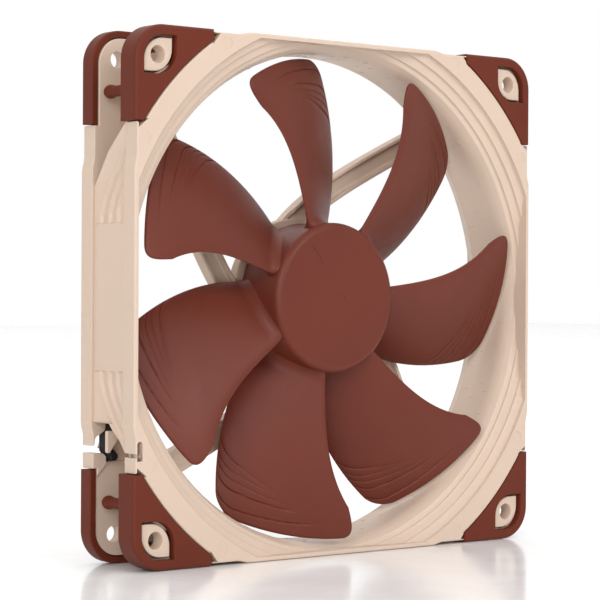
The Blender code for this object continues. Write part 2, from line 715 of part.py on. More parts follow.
def make_rotor():
    """What turns with the impeller: steel cup, magnet, bush, shaft and the clip on its end."""
    inside = YOKE_R - YOKE_WALL
    roof = YOKE_FRONT + YOKE_WALL
    profile = [(YOKE_EYE, YOKE_FRONT), (YOKE_R, YOKE_FRONT), (YOKE_R, YOKE_BACK), (inside, YOKE_BACK),
               (inside, roof), (YOKE_EYE, roof)]
    finish(turned("rotor_yoke", profile, 36), "steel")
    finish(ring("ring_magnet", *RING_MAGNET, 36), "magnet")
    finish(turned("hub_bush", HUB_BUSH_PROFILE, 18), "brass")
    finish(turned("shaft", SHAFT_PROFILE, 20), "steel")
    clip = ring("snap_ring", *SNAP_RING, 18)
    split = block("split", (0.0, SNAP_RING[2] - CLEAR, -SNAP_RING_SPLIT / 2),
                  (SNAP_RING[1] + CLEAR, SNAP_RING[3] + CLEAR, SNAP_RING_SPLIT / 2))
    finish(combine(clip, split, "DIFFERENCE"), "steel")


def make_bearing():
    """The bearing inside the frame's tube, from its shell to the pad under the shaft's end."""
    finish(ring("bearing_shell", *BEARING_SHELL, 24), "brass")
    finish(ring("bearing_bush", *BEARING_BUSH, 24), "bronze")
    finish(ring("oil_seal", *OIL_SEAL, 16), "black_rubber")
    finish(ring("stabiliser_magnet", *STABILISER_MAGNET, 16), "magnet")
    pad = cylinder("thrust_pad", 0.0, 0.0, THRUST_PAD_R, THRUST_PAD_FRONT, THRUST_PAD_BACK, 14)
    finish(pad, "black_plastic")


def four_arms(name, arm_width, shoe, y_low, y_high):
    """A cross of four arms on a hub ring, each ending in a curved shoe (inner, outer, half angle)."""
    hub_inner, hub_outer = CORE_HUB
    shoe_inner, shoe_outer, half_angle = shoe
    start = (hub_inner + hub_outer) / 2
    end = (shoe_inner + shoe_outer) / 2
    piece = ring(name, hub_inner, hub_outer, y_low, y_high, 20)
    for quarters in range(POLES):
        arm = [(start, -arm_width / 2), (end, -arm_width / 2), (end, arm_width / 2), (start, arm_width / 2)]
        combine(piece, prism("arm", quarter_turn(arm, quarters), y_low, y_high), "UNION")
        outline = arc(0.0, 0.0, shoe_outer, -half_angle, half_angle, 5)
        outline += arc(0.0, 0.0, shoe_inner, half_angle, -half_angle, 5)
        combine(piece, prism("shoe", quarter_turn(outline, quarters), y_low, y_high), "UNION")
    return piece


def make_coil(number):
    """One winding: a rounded ring round an arm of the stator."""
    wide = COIL_HALF_WIDTH
    deep = COIL_HALF_DEPTH
    flat = wide - COIL_CHAMFER_WIDTH
    side = deep - COIL_CHAMFER_DEPTH
    outline = [(-wide, -side), (-flat, -deep), (flat, -deep), (wide, -side), (wide, side), (flat, deep),
               (-flat, deep), (-wide, side)]
    bm = bmesh.new()
    cap = bm.faces.new([bm.verts.new((COIL_INNER_R, y, z)) for z, y in outline])
    grown = bmesh.ops.extrude_face_region(bm, geom=[cap])
    moved = [part for part in grown["geom"] if isinstance(part, bmesh.types.BMVert)]
    bmesh.ops.translate(bm, verts=moved, vec=(COIL_LENGTH, 0.0, 0.0))
    winding = solid(f"coil_{number + 1}", bm)
    hole = block("arm_hole", (COIL_INNER_R - CLEAR, -COIL_HOLE_HALF_DEPTH, -COIL_HOLE_HALF_WIDTH),
                 (COIL_INNER_R + COIL_LENGTH + CLEAR, COIL_HOLE_HALF_DEPTH, COIL_HOLE_HALF_WIDTH))
    combine(winding, hole, "DIFFERENCE")
    winding.data.transform(Matrix.Rotation(-math.radians(90.0 * number), 4, "Y"))
    finish(winding, "copper")


def make_stator():
    """Laminations, their insulators, four windings, four pins and the driver board."""
    finish(four_arms("stator_core", CORE_ARM, CORE_SHOE, -CORE_HALF, CORE_HALF), "laminate")
    front = four_arms("insulator_front", INSULATOR_ARM, INSULATOR_SHOE, -INSULATOR_OUTER, -INSULATOR_INNER)
    finish(front, "cream_plastic")
    rear = four_arms("insulator_rear", INSULATOR_ARM, INSULATOR_SHOE, INSULATOR_INNER, INSULATOR_OUTER)
    finish(rear, "cream_plastic")
    for number in range(POLES):
        make_coil(number)
        angle = 45.0 + 90.0 * number
        pin_x, pin_z = arc(0.0, 0.0, PIN_PLACE_R, angle, angle, 1)[0]
        finish(cylinder(f"terminal_pin_{number + 1}", pin_x, pin_z, PIN_R, PIN_FRONT, PIN_BACK, 6), "tin")
    finish(ring("circuit_board", *CIRCUIT_BOARD, 32), "board")
    for name, (low, high, slot) in BOARD_PARTS.items():
        finish(block(name, low, high), slot, smooth=False)
    label_front = BASE_BACK - LABEL_RECESS + GAP
    label = cylinder("rear_label", 0.0, 0.0, LABEL_R, label_front, BASE_BACK + 0.05, 32)
    finish(label, "paper")


def make_held_lead():
    """The four flat wires in the strut's channel, and the rubber piece that anchors the lead."""
    floor = CHANNEL_FLOOR + GAP
    outline = strut_outline(CABLE_TURN, RIBBON_WIDTH, CHANNEL_INNER_R, RIBBON_OUTER_R)
    ribbon = prism("strut_lead", outline, floor, floor + RIBBON_THICK)
    well_x, well_z = well_place()
    drop = cylinder("drop", well_x, well_z, DROP_R, DROP_FRONT, floor + RIBBON_THICK - 0.1, 12)
    finish(combine(ribbon, drop, "UNION"), "black_rubber")
    anchor = prism("lead_anchor", band_outline(ANCHOR_PATH, ANCHOR_HALF), ANCHOR_FRONT, ANCHOR_BACK)
    combine(anchor, prism("plug", ANCHOR_PLUG, ANCHOR_PLUG_FRONT, ANCHOR_PLUG_BACK), "UNION")
    boot = [(0.0, ANCHOR_FRONT), (BOOT_R, ANCHOR_FRONT), (BOOT_R, FACE_Y + 0.4), (BOOT_TIP_R, BOOT_BACK),
            (0.0, BOOT_BACK)]
    combine(anchor, turned("boot", boot, 16, (BOOT_X, 0.0, BOOT_Z)), "UNION")
    finish(anchor, "black_rubber")


def smooth_points(route, count):
    """Evenly placed points on a smooth curve through the route's own points."""
    points = [Vector(point) for point in route]
    dense = []
    for index in range(len(points) - 1):
        before = points[max(index - 1, 0)]
        start = points[index]
        end = points[index + 1]
        after = points[min(index + 2, len(points) - 1)]
        for step in range(12):
            part = step / 12
            dense.append(0.5 * (2 * start + (end - before) * part
                                + (2 * before - 5 * start + 4 * end - after) * part ** 2
                                + (3 * start - before - 3 * end + after) * part ** 3))
    dense.append(points[-1])
    lengths = [0.0]
    for first, second in zip(dense, dense[1:]):
        lengths.append(lengths[-1] + (second - first).length)
    even = []
    for index in range(count):
        wanted = lengths[-1] * index / (count - 1)
        place = max(step for step in range(len(dense)) if lengths[step] <= wanted + 1e-9)
        place = min(place, len(dense) - 2)
        share = (wanted - lengths[place]) / (lengths[place + 1] - lengths[place])
        even.append(dense[place].lerp(dense[place + 1], share))
    return even


def cord(name, route, count, diameter):
    """A round cord along a route, as a tube with closed ends."""
    curve = bpy.data.curves.new(name, "CURVE")
    curve.dimensions = "3D"
    curve.bevel_depth = diameter / 2 * MM
    curve.bevel_resolution = 2
    curve.use_fill_caps = True
    spline = curve.splines.new("POLY")
    points = smooth_points(route, count)
    spline.points.add(len(points) - 1)
    for target, point in zip(spline.points, points):
        target.co = (*(point * MM), 1.0)
    curve.materials.append(material("black_rubber"))
    item = bpy.data.objects.new(name, curve)
    bpy.context.scene.collection.objects.link(item)
    return item


def make_free_lead():
    """The lead behind the fan: its run to the floor, one tied coil and the connector inside it."""
    cord("lead_cable", LEAD_ROUTE, 13, LEAD_D)
    cord("lead_tail", TAIL_ROUTE, 5, LEAD_D)
    inner = COIL_MID_R - LEAD_D / 2
    outer = COIL_MID_R + LEAD_D / 2
    height = 2 * LEAD_D
    profile = [(inner, COIL_ROUND), (inner + COIL_ROUND, 0.0), (outer - COIL_ROUND, 0.0), (outer, COIL_ROUND),
               (outer, height - COIL_ROUND), (outer - COIL_ROUND, height), (inner + COIL_ROUND, height),
               (inner, height - COIL_ROUND)]
    coil = turned("lead_coil", profile, 30, (COIL_X, COIL_Y, COIL_BOTTOM), (0.0, 0.0, 1.0))
    finish(coil, "black_rubber")
    make_tie(COIL_X + inner - GAP, COIL_X + outer + GAP, COIL_BOTTOM + height + GAP)
    make_connector()


def make_tie(near, far, top):
    """The strap round both turns of the coil."""
    tie = block("cable_tie", (near - TIE_BAND, COIL_Y - TIE_HALF_WIDTH, FLOOR),
                (far + TIE_BAND, COIL_Y + TIE_HALF_WIDTH, top + TIE_BAND))
    reach = TIE_HALF_WIDTH + CLEAR
    hollow = block("tie_hollow", (near, COIL_Y - reach, FLOOR + TIE_BAND), (far, COIL_Y + reach, top))
    finish(combine(tie, hollow, "DIFFERENCE"), "black_plastic", smooth=False)


def make_connector():
    """The connector's housing with its guide rails, and the contacts in its four sockets."""
    front_x = PLUG_BACK_X + PLUG_LENGTH
    half = PLUG_WIDTH / 2
    housing = block("connector_housing", (PLUG_BACK_X, PLUG_Y - half, FLOOR),
                    (front_x, PLUG_Y + half, FLOOR + PLUG_HEIGHT - RAIL_HEIGHT))
    for place in RAIL_PLACES:
        middle = PLUG_Y + place
        rail = block("rail", (PLUG_BACK_X + 0.5, middle - RAIL_HALF_WIDTH, FLOOR + CLEAR),
                     (front_x - 1.0, middle + RAIL_HALF_WIDTH, FLOOR + PLUG_HEIGHT))
        combine(housing, rail, "UNION")
    for number in range(CONTACTS):
        middle = PLUG_Y + (number - (CONTACTS - 1) / 2) * CONTACT_PITCH
        socket = block("socket", (front_x - SOCKET_DEPTH, middle - SOCKET_HALF_WIDTH, FLOOR + SOCKET_LOW),
                       (front_x + CLEAR, middle + SOCKET_HALF_WIDTH, FLOOR + SOCKET_HIGH))
        combine(housing, socket, "DIFFERENCE")
        half = SOCKET_HALF_WIDTH - GAP
        low = FLOOR + SOCKET_LOW + GAP
        high = FLOOR + SOCKET_HIGH - GAP
        contact = block(f"connector_contact_{number + 1}", (front_x - SOCKET_DEPTH + GAP, middle - half, low),
                        (front_x - 1.0, middle + half, high))
        slit = block("slit", (front_x - CONTACT_SLIT_DEPTH, middle - CONTACT_SLIT_HALF, low - CLEAR),
                     (front_x, middle + CONTACT_SLIT_HALF, high + CLEAR))
        finish(combine(contact, slit, "DIFFERENCE"), "tin", smooth=False)
    finish(housing, "black_plastic", smooth=False)


def main():
    clear_scene()
    make_frame()
    make_pads()
    make_impeller()
    make_rotor()
    make_bearing()
    make_stator()
    make_held_lead()
    make_free_lead()


main()
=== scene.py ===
"""Looks of a 140 mm case fan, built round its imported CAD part.

The frame, the pads, the impeller and the lead are detailed pieces that replace their CAD nodes.
The motor's inner parts keep their CAD shape and get finer materials. Lengths are in millimetres
until they are scaled to metres.
"""

import math

import bmesh
import bpy
import numpy as np
from mathutils import Matrix, Vector


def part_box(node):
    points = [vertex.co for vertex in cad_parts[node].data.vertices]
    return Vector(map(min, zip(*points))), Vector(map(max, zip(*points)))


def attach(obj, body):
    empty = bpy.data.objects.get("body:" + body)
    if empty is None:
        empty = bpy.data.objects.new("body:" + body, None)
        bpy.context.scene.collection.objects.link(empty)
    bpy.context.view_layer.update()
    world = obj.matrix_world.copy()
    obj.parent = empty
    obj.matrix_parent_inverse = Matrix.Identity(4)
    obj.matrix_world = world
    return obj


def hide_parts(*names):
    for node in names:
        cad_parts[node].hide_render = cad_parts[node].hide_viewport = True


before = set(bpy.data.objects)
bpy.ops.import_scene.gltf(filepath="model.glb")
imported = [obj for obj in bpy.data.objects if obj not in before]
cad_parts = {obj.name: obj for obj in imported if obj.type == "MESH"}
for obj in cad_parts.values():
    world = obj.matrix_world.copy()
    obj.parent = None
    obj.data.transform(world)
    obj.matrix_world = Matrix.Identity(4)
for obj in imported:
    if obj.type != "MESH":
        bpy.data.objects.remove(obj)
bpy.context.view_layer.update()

MM = 0.001
ON_AXIS = 1e-6
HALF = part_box("frame")[1].x / MM
FACE_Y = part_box("frame")[1].y / MM
FLOOR = -HALF
GAP = 0.3
# The corners by their signs in x and z
CORNERS = {
    (-1, 1): "upper_left", (1, 1): "upper_right", (-1, -1): "lower_left", (1, -1): "lower_right",
}
FOUR = range(1, 5)  # the numbers of the coils, of their pins and of the contacts

# Frame
EDGE_HALF = 69.3
FLANGE_INNER_Y = 7.2
SWELL_START = 36.6
SWELL_FULL = 32.6
FLANGE_ARC = 80.7
PAD_ARC = 80.88
DUCT_R = 67.3
DUCT_OUTER_R = 70.8
DUCT_HALF = 69.1
BORE_HALF = 68.8
WALL_OUTER = 69.25
WALL_INNER = 66.6
TOOL_END = 13.5  # how far cutting tools reach in Y, past the face
CUTTER_HALF = 15.0

# Pads and corner plates
PAD_END = 45.0
PAD_CORNER = 61.0
PAD_CORNER_R = 9.0
PAD_WALL = 1.8
PAD_PLATE = 2.0
PLATE_HALF = HALF - PAD_WALL - GAP
PLATE_INSET = 0.02
WINDOW_GAP = 0.6
PAD_REACH = {-1: 7.1, 1: 5.0}
PLATE_Y = FACE_Y - PAD_PLATE - GAP
HOLE_PITCH = 62.25
HOLE_R = 2.2
LEAF_HALF = 4.4
LEAF_R = 6.0
BOSS_FACE = 11.3
STEM_ALONG = 53.5
STEM_ACROSS = 65.9
STEM_R = 1.45
BULB_R = 1.85
BULB_Y = {-1: 4.7, 1: -2.9}

# The clip that holds the lead's anchor
CLIP_OPENING = [
    (-65.2, -31.2), (-65.3, -33.4), (-65.45, -34.6), (-65.8, -35.1), (-67.4, -36.05),
    (-68.1, -36.4), (-68.45, -36.8), (-68.65, -37.5), (-68.7, -38.4), (-68.9, -38.7),
    (-69.2, -38.8), (-72.0, -38.8), (-72.0, -40.7), (-67.6, -40.75), (-66.3, -40.85),
    (-65.8, -41.05), (-65.2, -41.6), (-65.1, -41.9), (-65.1, -43.1), (-62.95, -43.1),
    (-62.2, -42.25), (-62.2, -41.15), (-63.25, -39.9), (-64.45, -39.9), (-64.6, -39.55),
    (-64.05, -38.3), (-63.95, -34.0), (-64.25, -31.2),
]
CLIP_POST = [
    (-68.85, -34.6), (-69.0, -34.8), (-69.0, -39.9), (-68.8, -40.25), (-68.4, -40.3),
    (-68.1, -40.1), (-65.9, -37.0), (-60.0, -37.0), (-60.0, -34.6),
]
LEAD_RECESS = [
    (-64.3, -43.1), (-68.6, -47.55), (-68.6, -69.0), (-47.0, -69.0), (-47.0, -56.0),
    (-50.0, -53.3), (-53.0, -50.3), (-55.6, -47.3), (-58.8, -43.1),
]

# Struts and motor base. A strut's angle at a radius is STRUT_PHASE + STRUT_TURN / radius degrees
STRUT_TURN = 1454.0
STRUT_PHASE = 23.1
STRUT_WIDTH = 6.7
STRUT_START = 19.0
STRUT_END = 69.4
STRUT_FRONT = 9.0
LEAD_QUARTER = 2
LEAD_STRUT = 90.0 * LEAD_QUARTER
WELL_R = 2.6
CHANNEL_WIDTH = 5.2
CHANNEL_FLOOR = 10.6
BASE_R = 22.3
LABEL_R = 16.5

# Impeller
BLADES = 7
HUB_R = 20.7
HUB_BORE = 19.3
HUB_FACE = -8.7
HUB_BACK = 8.4
HUB_RIM_R = 2.1
BLADE_ROOT = HUB_R - 0.5
BLADE_TIP = 66.2
BLADE_SPAN_REF = 65.5
BLADE_THICK = 2.0
BLADE_THIN_BY = 0.75
TIP_ROUND = 0.986
ROOT_FILLET = 2.8
ROOT_FILLET_REACH = 3.8
# The tip's corners: the chord share over which each falls away, and how far
LEAD_CORNER = (0.229, 8.475)
TRAIL_CORNER = (0.125, 5.3)
# Each edge's angle in degrees, its depth in Y, and the camber, as series in the share of the span
LEAD_ANGLE = (111.263, -2.844, 7.748, 7.976)
TRAIL_ANGLE = (65.26, 21.475, 0.53, -0.097)
LEAD_DEPTH = (-5.578, -5.075, -0.928)
TRAIL_DEPTH = (7.687, -1.227, -2.018)
CAMBER = (-1.135, -0.311)
# Each groove: its span at the trailing edge, its slope, the chord share where it ends, its depth
GROOVES = [
    (0.95, 0.05, 0.30, 0.34), (0.845, -0.02, 0.41, 0.34), (0.78, -0.09, 0.45, 0.24),
    (0.73, -0.12, 0.53, 0.24), (0.652, -0.27, 0.52, 0.34),
]

# Lead
LEAD_D = 3.4
BOOT_X = -53.2
BOOT_Z = -53.2
BOOT_BACK = 15.0
ANCHOR_PATH = [(-53.2, -53.2), (-58.5, -48.5), (-62.4, -43.9), (-63.4, -41.8)]
ANCHOR_HALF = 1.6
ANCHOR_PLUG = [
    (-64.9, -31.6), (-65.0, -33.7), (-65.75, -35.7), (-65.7, -40.3), (-64.75, -41.5),
    (-64.75, -42.8), (-63.2, -42.8), (-62.55, -42.1), (-62.55, -41.3), (-63.4, -40.25),
    (-64.7, -40.25), (-65.0, -39.6), (-64.4, -38.3), (-64.3, -34.0), (-64.6, -31.6),
]
COIL_X = -26.0
COIL_Y = 30.6
COIL_R = 15.38
COIL_BOTTOM = FLOOR + 0.8
# The coil's start and end in degrees. Its crossing to the lower turn begins at a share of its
# length and takes a share of its length
COIL_START = 168.0
COIL_LEAVE = 230.0
COIL_CROSSING = (0.46, 0.10)
TAIL_BEND_R = 6.8
TAIL_TURN = 140.0
TAIL_RISE = 0.4
TAIL_END_X = -30.2


# ---- materials


class Nodes:
    """A material's node tree with short calls for the nodes used here."""

    def __init__(self, name):
        self.material = bpy.data.materials.new(name)
        self.material.use_nodes = True
        self.tree = self.material.node_tree
        self.shader = self.tree.nodes["Principled BSDF"]
        self.place = self.tree.nodes.new("ShaderNodeTexCoord").outputs["Object"]

    def link(self, source, target):
        self.tree.links.new(source, target)

    def feed(self, socket, source):
        self.link(source, self.shader.inputs[socket])

    def node(self, kind, values):
        node = self.tree.nodes.new(kind)
        for socket, value in values.items():
            node.inputs[socket].default_value = value
        return node

    def noise(self, scale, detail=4.0, roughness=0.55, stretch=(1.0, 1.0, 1.0)):
        mapping = self.node("ShaderNodeMapping", {"Scale": stretch})
        self.link(self.place, mapping.inputs["Vector"])
        values = {"Scale": scale, "Detail": detail, "Roughness": roughness}
        node = self.node("ShaderNodeTexNoise", values)
        self.link(mapping.outputs["Vector"], node.inputs["Vector"])
        return node.outputs["Fac"]

    def spread(self, value, low, high, from_low=0.3, from_high=0.7):
        values = {"From Min": from_low, "From Max": from_high, "To Min": low, "To Max": high}
        node = self.node("ShaderNodeMapRange", values)
        self.link(value, node.inputs["Value"])
        return node.outputs["Result"]

    def blend(self, share, first, second):
        node = self.tree.nodes.new("ShaderNodeMix")
        node.data_type = "RGBA"
        for socket, colour in zip([s for s in node.inputs if s.type == "RGBA"], (first, second)):
            if isinstance(colour, tuple):
                socket.default_value = (*colour, 1.0)
            else:
                self.link(colour, socket)
        self.link(share, node.inputs["Factor"])
        return next(s for s in node.outputs if s.type == "RGBA")

    def bump(self, height, distance, strength=1.0, after=None):
        node = self.node("ShaderNodeBump", {"Distance": distance, "Strength": strength})
        self.link(height, node.inputs["Height"])
        if after:
            self.link(after, node.inputs["Normal"])
        return node.outputs["Normal"]



def moulded(name, colour, roughness, speck=0.05, grain=0.00004, grain_scale=5200.0, specular=0.5,
            flow=0.0):
    """Moulded plastic or rubber: drifting colour, spark-eroded grain, a touch of flow marks."""
    nodes = Nodes(name)
    darker = tuple(c * (1.0 - speck * 1.6) for c in colour)
    lighter = tuple(min(1.0, c * (1.0 + speck)) for c in colour)
    broad = nodes.spread(nodes.noise(38.0, 3.0), 0.0, 1.0)
    tone = nodes.blend(broad, darker, lighter)
    fine = nodes.spread(nodes.noise(1600.0, 2.0), 0.0, 1.0)
    nodes.feed("Base Color", nodes.blend(nodes.spread(fine, 0.0, 0.35, 0.0, 1.0), tone, lighter))
    smear = nodes.noise(90.0, 5.0, 0.6, (1.0, 1.0, 0.35))
    nodes.feed("Roughness", nodes.spread(smear, roughness - 0.05, roughness + 0.07))
    nodes.shader.inputs["Specular IOR Level"].default_value = specular
    normal = nodes.bump(nodes.noise(grain_scale, 2.0), grain)
    if flow:
        normal = nodes.bump(nodes.noise(150.0, 2.0, 0.5), flow, 0.6, normal)
    nodes.feed("Normal", normal)
    return nodes.material


def metal(name, colour, roughness, brushed=(1.0, 1.0, 1.0), tarnish=0.12, grain=0.00002):
    """Machined or stamped metal: fine lines one way, dull patches, faint tarnish."""
    nodes = Nodes(name)
    nodes.shader.inputs["Metallic"].default_value = 1.0
    dull = tuple(c * (1.0 - tarnish * 2) for c in colour)
    patches = nodes.spread(nodes.noise(240.0, 5.0), 0.0, 1.0)
    nodes.feed("Base Color", nodes.blend(patches, dull, colour))
    lines = nodes.noise(1800.0, 3.0, 0.6, brushed)
    nodes.feed("Roughness", nodes.spread(lines, roughness - 0.06, roughness + 0.12))
    nodes.feed("Normal", nodes.bump(lines, grain))
    return nodes.material


def striped(name, bands, scale, dark, light, roughness, patches, relief=0.00015, metallic=1.0,
            distortion=0.0, contrast=(0.0, 1.0)):
    """Fine even stripes in one direction, both in colour and in relief."""
    nodes = Nodes(name)
    nodes.shader.inputs["Metallic"].default_value = metallic
    wave = nodes.node("ShaderNodeTexWave", {"Scale": scale, "Distortion": distortion})
    wave.bands_direction = bands
    nodes.link(nodes.place, wave.inputs["Vector"])
    stripes = nodes.spread(wave.outputs["Fac"], 0.0, 1.0, *contrast)
    nodes.feed("Base Color", nodes.blend(stripes, dark, light))
    nodes.feed("Roughness", nodes.spread(nodes.noise(patches), *roughness))
    nodes.feed("Normal", nodes.bump(wave.outputs["Fac"], relief))
    return nodes.material


SAND = moulded("sand", (0.605, 0.468, 0.37), 0.42, speck=0.02, flow=0.00005, specular=0.42)
BROWN = moulded("brown", (0.130, 0.0255, 0.0138), 0.40, speck=0.05, flow=0.00005, specular=0.25)
PAD = moulded("pad", (0.121, 0.0205, 0.0082), 0.50, speck=0.06, grain=0.00006, specular=0.2)
BLACK = moulded("black", (0.012, 0.012, 0.013), 0.5, speck=0.2, specular=0.4)
ANCHOR = moulded("anchor", (0.010, 0.010, 0.011), 0.62, speck=0.25, grain=0.00008, specular=0.35)
CREAM = moulded("cream", (0.72, 0.70, 0.63), 0.48, speck=0.03)
BOARD = moulded("board", (0.015, 0.12, 0.05), 0.38, speck=0.15, grain_scale=1800.0, specular=0.6)
CERAMIC = moulded("ceramic_body", (0.40, 0.28, 0.18), 0.5, speck=0.1)
PAPER = moulded("blank_label", (0.70, 0.66, 0.59), 0.62, speck=0.03, grain=0.00009,
                grain_scale=2600.0)
MAGNET = moulded("ferrite", (0.045, 0.045, 0.05), 0.6, speck=0.2, grain=0.00012,
                 grain_scale=3000.0)
STEEL = metal("steel", (0.55, 0.55, 0.56), 0.3, (1.0, 0.05, 1.0))
BRASS = metal("brass", (0.72, 0.53, 0.24), 0.28, (1.0, 0.05, 1.0))
BRONZE = metal("bronze", (0.43, 0.29, 0.16), 0.5, tarnish=0.25, grain=0.00006)
TIN = metal("tin", (0.76, 0.75, 0.72), 0.24)
# Enamelled copper in close rows, laminations seen on their edges, a sleeve of spiralling filaments
WIRE = striped("wire", "DIAGONAL", 620.0, (0.26, 0.085, 0.035), (0.78, 0.33, 0.15),
               (0.24, 0.4), 700.0, relief=0.0002, distortion=0.4)
SHEETS = striped("laminations", "Y", 640.0, (0.10, 0.105, 0.115), (0.42, 0.43, 0.45),
                 (0.35, 0.55), 600.0)
SLEEVE = striped("sleeve", "DIAGONAL", 420.0, (0.006, 0.006, 0.007), (0.022, 0.021, 0.021),
                 (0.5, 0.68), 900.0, metallic=0.0, distortion=1.5, contrast=(0.1, 0.9))


# ---- mesh helpers


def add_object(name, data):
    item = bpy.data.objects.new(name, data)
    bpy.context.scene.collection.objects.link(item)
    return item


def object_from(name, bm):
    """A named object that takes over a bmesh."""
    mesh = bpy.data.meshes.new(name)
    bm.to_mesh(mesh)
    bm.free()
    return add_object(name, mesh)


def solid(name, bm):
    """Close a bmesh drawn in millimetres into a named object in metres."""
    bmesh.ops.recalc_face_normals(bm, faces=bm.faces)
    bmesh.ops.scale(bm, verts=bm.verts, vec=(MM, MM, MM))
    return object_from(name, bm)


def from_grids(name, grids, weld=0.002):
    """Quad grids of points, welded where their borders meet."""
    bm = bmesh.new()
    for grid in grids:
        rows = [[bm.verts.new(point) for point in row] for row in grid]
        for upper, lower in zip(rows, rows[1:]):
            for column in range(len(upper) - 1):
                bm.faces.new((upper[column], upper[column + 1], lower[column + 1], lower[column]))
    bmesh.ops.remove_doubles(bm, verts=bm.verts, dist=weld)
    return solid(name, bm)


def inset(outline, distances):
    """The outline moved inwards by a distance at each of its points."""
    points = np.array(outline, float)
    ahead = np.roll(points, -1, 0) - points
    ahead /= np.linalg.norm(ahead, axis=1)[:, None]
    outward = np.stack([ahead[:, 1], -ahead[:, 0]], 1)
    following = np.roll(points, -1, 0)
    area = (points[:, 0] * following[:, 1] - points[:, 1] * following[:, 0]).sum()
    if area < 0:
        outward = -outward
    before = np.roll(outward, 1, 0)
    share = 1.0 + (outward * before).sum(1)
    miter = (outward + before) / np.maximum(share, 0.35)[:, None]
    return points - miter * np.asarray(distances)[:, None]


def layered(name, outline, layers, weights=None):
    """An (x, z) outline lofted through (y, inset) layers, with flat ends."""
    scale = np.ones(len(outline)) if weights is None else np.asarray(weights, float)
    bm = bmesh.new()
    rings = []
    for y, distance in layers:
        moved = inset(outline, distance * scale)
        rings.append([bm.verts.new((x, y, z)) for x, z in moved])
    for lower, upper in zip(rings, rings[1:]):
        for index in range(len(lower)):
            following = (index + 1) % len(lower)
            bm.faces.new((lower[index], lower[following], upper[following], upper[index]))
    bm.faces.new(rings[0])
    bm.faces.new(rings[-1])
    return solid(name, bm)


def rounded(y_low, y_high, low_r, high_r, steps=4):
    """Layers for layered() with rounded edges at both ends."""
    turns = [math.pi / 2 * step / steps for step in range(steps + 1)]
    low = [(y_low + low_r * (1 - math.sin(turn)), low_r * (1 - math.cos(turn))) for turn in turns]
    high = [(y_high - high_r * (1 - math.sin(turn)), high_r * (1 - math.cos(turn)))
            for turn in turns]
    return low[::-1] + high


def faced(face, layers):
    """Layers moved to the front (-1) or the rear (1) of the fan."""
    return [(face * y, distance) for y, distance in layers]


def turned(name, profile, steps, centre=(0.0, 0.0, 0.0)):
    """A closed (radius, y) profile spun about the Y axis."""
    bm = bmesh.new()
    rings = []
    for radius, y in profile:
        ring = []
        for step in range(steps if radius > ON_AXIS else 1):
            angle = 2 * math.pi * step / steps
            ring.append(bm.verts.new((radius * math.cos(angle), y, radius * math.sin(angle))))
        rings.append(ring)
    for index, ring in enumerate(rings):
        other = rings[(index + 1) % len(rings)]
        if len(ring) == 1 and len(other) == 1:
            continue
        for step in range(steps):
            following = (step + 1) % steps
            if len(ring) == 1:
                bm.faces.new((ring[0], other[following], other[step]))
            elif len(other) == 1:
                bm.faces.new((ring[step], ring[following], other[0]))
            else:
                bm.faces.new((ring[step], ring[following], other[following], other[step]))
    bmesh.ops.translate(bm, verts=bm.verts, vec=centre)
    return solid(name, bm)


def tube(name, line, radius, sides):
    """A round tube along a row of points that stays nearly level in Y."""
    side = np.cross(np.gradient(line, axis=0), (0.0, 1.0, 0.0))
    side /= np.linalg.norm(side, axis=1)[:, None]
    rings = []
    for step in range(sides + 1):
        angle = 2 * math.pi * step / sides
        upright = np.array((0.0, math.sin(angle), 0.0))
        rings.append(line + radius * (side * math.cos(angle) + upright))
    return from_grids(name, [np.stack(rings, 1)], 0.001)


def box(name, low, high, bevel=0.0):
    bm = bmesh.new()
    size = [high[axis] - low[axis] for axis in range(3)]
    middle = [(high[axis] + low[axis]) / 2 for axis in range(3)]
    shape = Matrix.Translation(middle) @ Matrix.Diagonal((*size, 1.0))
    bmesh.ops.create_cube(bm, size=1.0, matrix=shape)
    if bevel:
        bmesh.ops.bevel(bm, geom=list(bm.edges), offset=bevel, segments=3, profile=0.5,
                        affect="EDGES")
    return solid(name, bm)


def merge(name, items):
    """Several meshes as the separate shells of one object."""
    bm = bmesh.new()
    for item in items:
        bm.from_mesh(item.data)
        bpy.data.objects.remove(item, do_unlink=True)
    return object_from(name, bm)


def combine(target, tool, operation, crossing=False):
    """Join, cut or intersect target with tool; crossing is for shells that overlap."""
    modifier = target.modifiers.new(operation, "BOOLEAN")
    modifier.operation = operation
    modifier.object = tool
    modifier.use_self = crossing
    graph = bpy.context.evaluated_depsgraph_get()
    mesh = bpy.data.meshes.new_from_object(target.evaluated_get(graph))
    target.modifiers.clear()
    target.data = mesh
    bpy.data.objects.remove(tool, do_unlink=True)
    return target


def present(item, mat, body, nodes, sharp=32.0):
    """Give a finished piece its material, its shading and its body, and hide the CAD nodes it
    stands for.
    """
    item.data.materials.clear()
    item.data.materials.append(mat)
    item.data.shade_smooth()
    item.data.set_sharp_from_angle(angle=math.radians(sharp))
    weighted = item.modifiers.new("normals", "WEIGHTED_NORMAL")
    weighted.keep_sharp = True
    weighted.weight = 100
    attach(item, body)
    if nodes:
        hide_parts(*nodes)


# ---- outlines


def arc(x, z, radius, start, end, steps):
    points = []
    for index in range(steps + 1):
        angle = math.radians(start + (end - start) * index / steps)
        points.append((x + radius * math.cos(angle), z + radius * math.sin(angle)))
    return points


def quarter_turn(points, quarters):
    result = list(points)
    for _ in range(quarters % 4):
        result = [(-z, x) for x, z in result]
    return result


def mirrored(points, sign_x, sign_z):
    return [(x * sign_x, z * sign_z) for x, z in points]


def eased(first, last, count):
    """Points on a soft S from one (x, z) point to another, level at both ends."""
    points = []
    for index in range(count + 1):
        share = index / count
        rise = share * share * (3 - 2 * share)
        points.append((first[0] + (last[0] - first[0]) * rise,
                       first[1] + (last[1] - first[1]) * share))
    return points


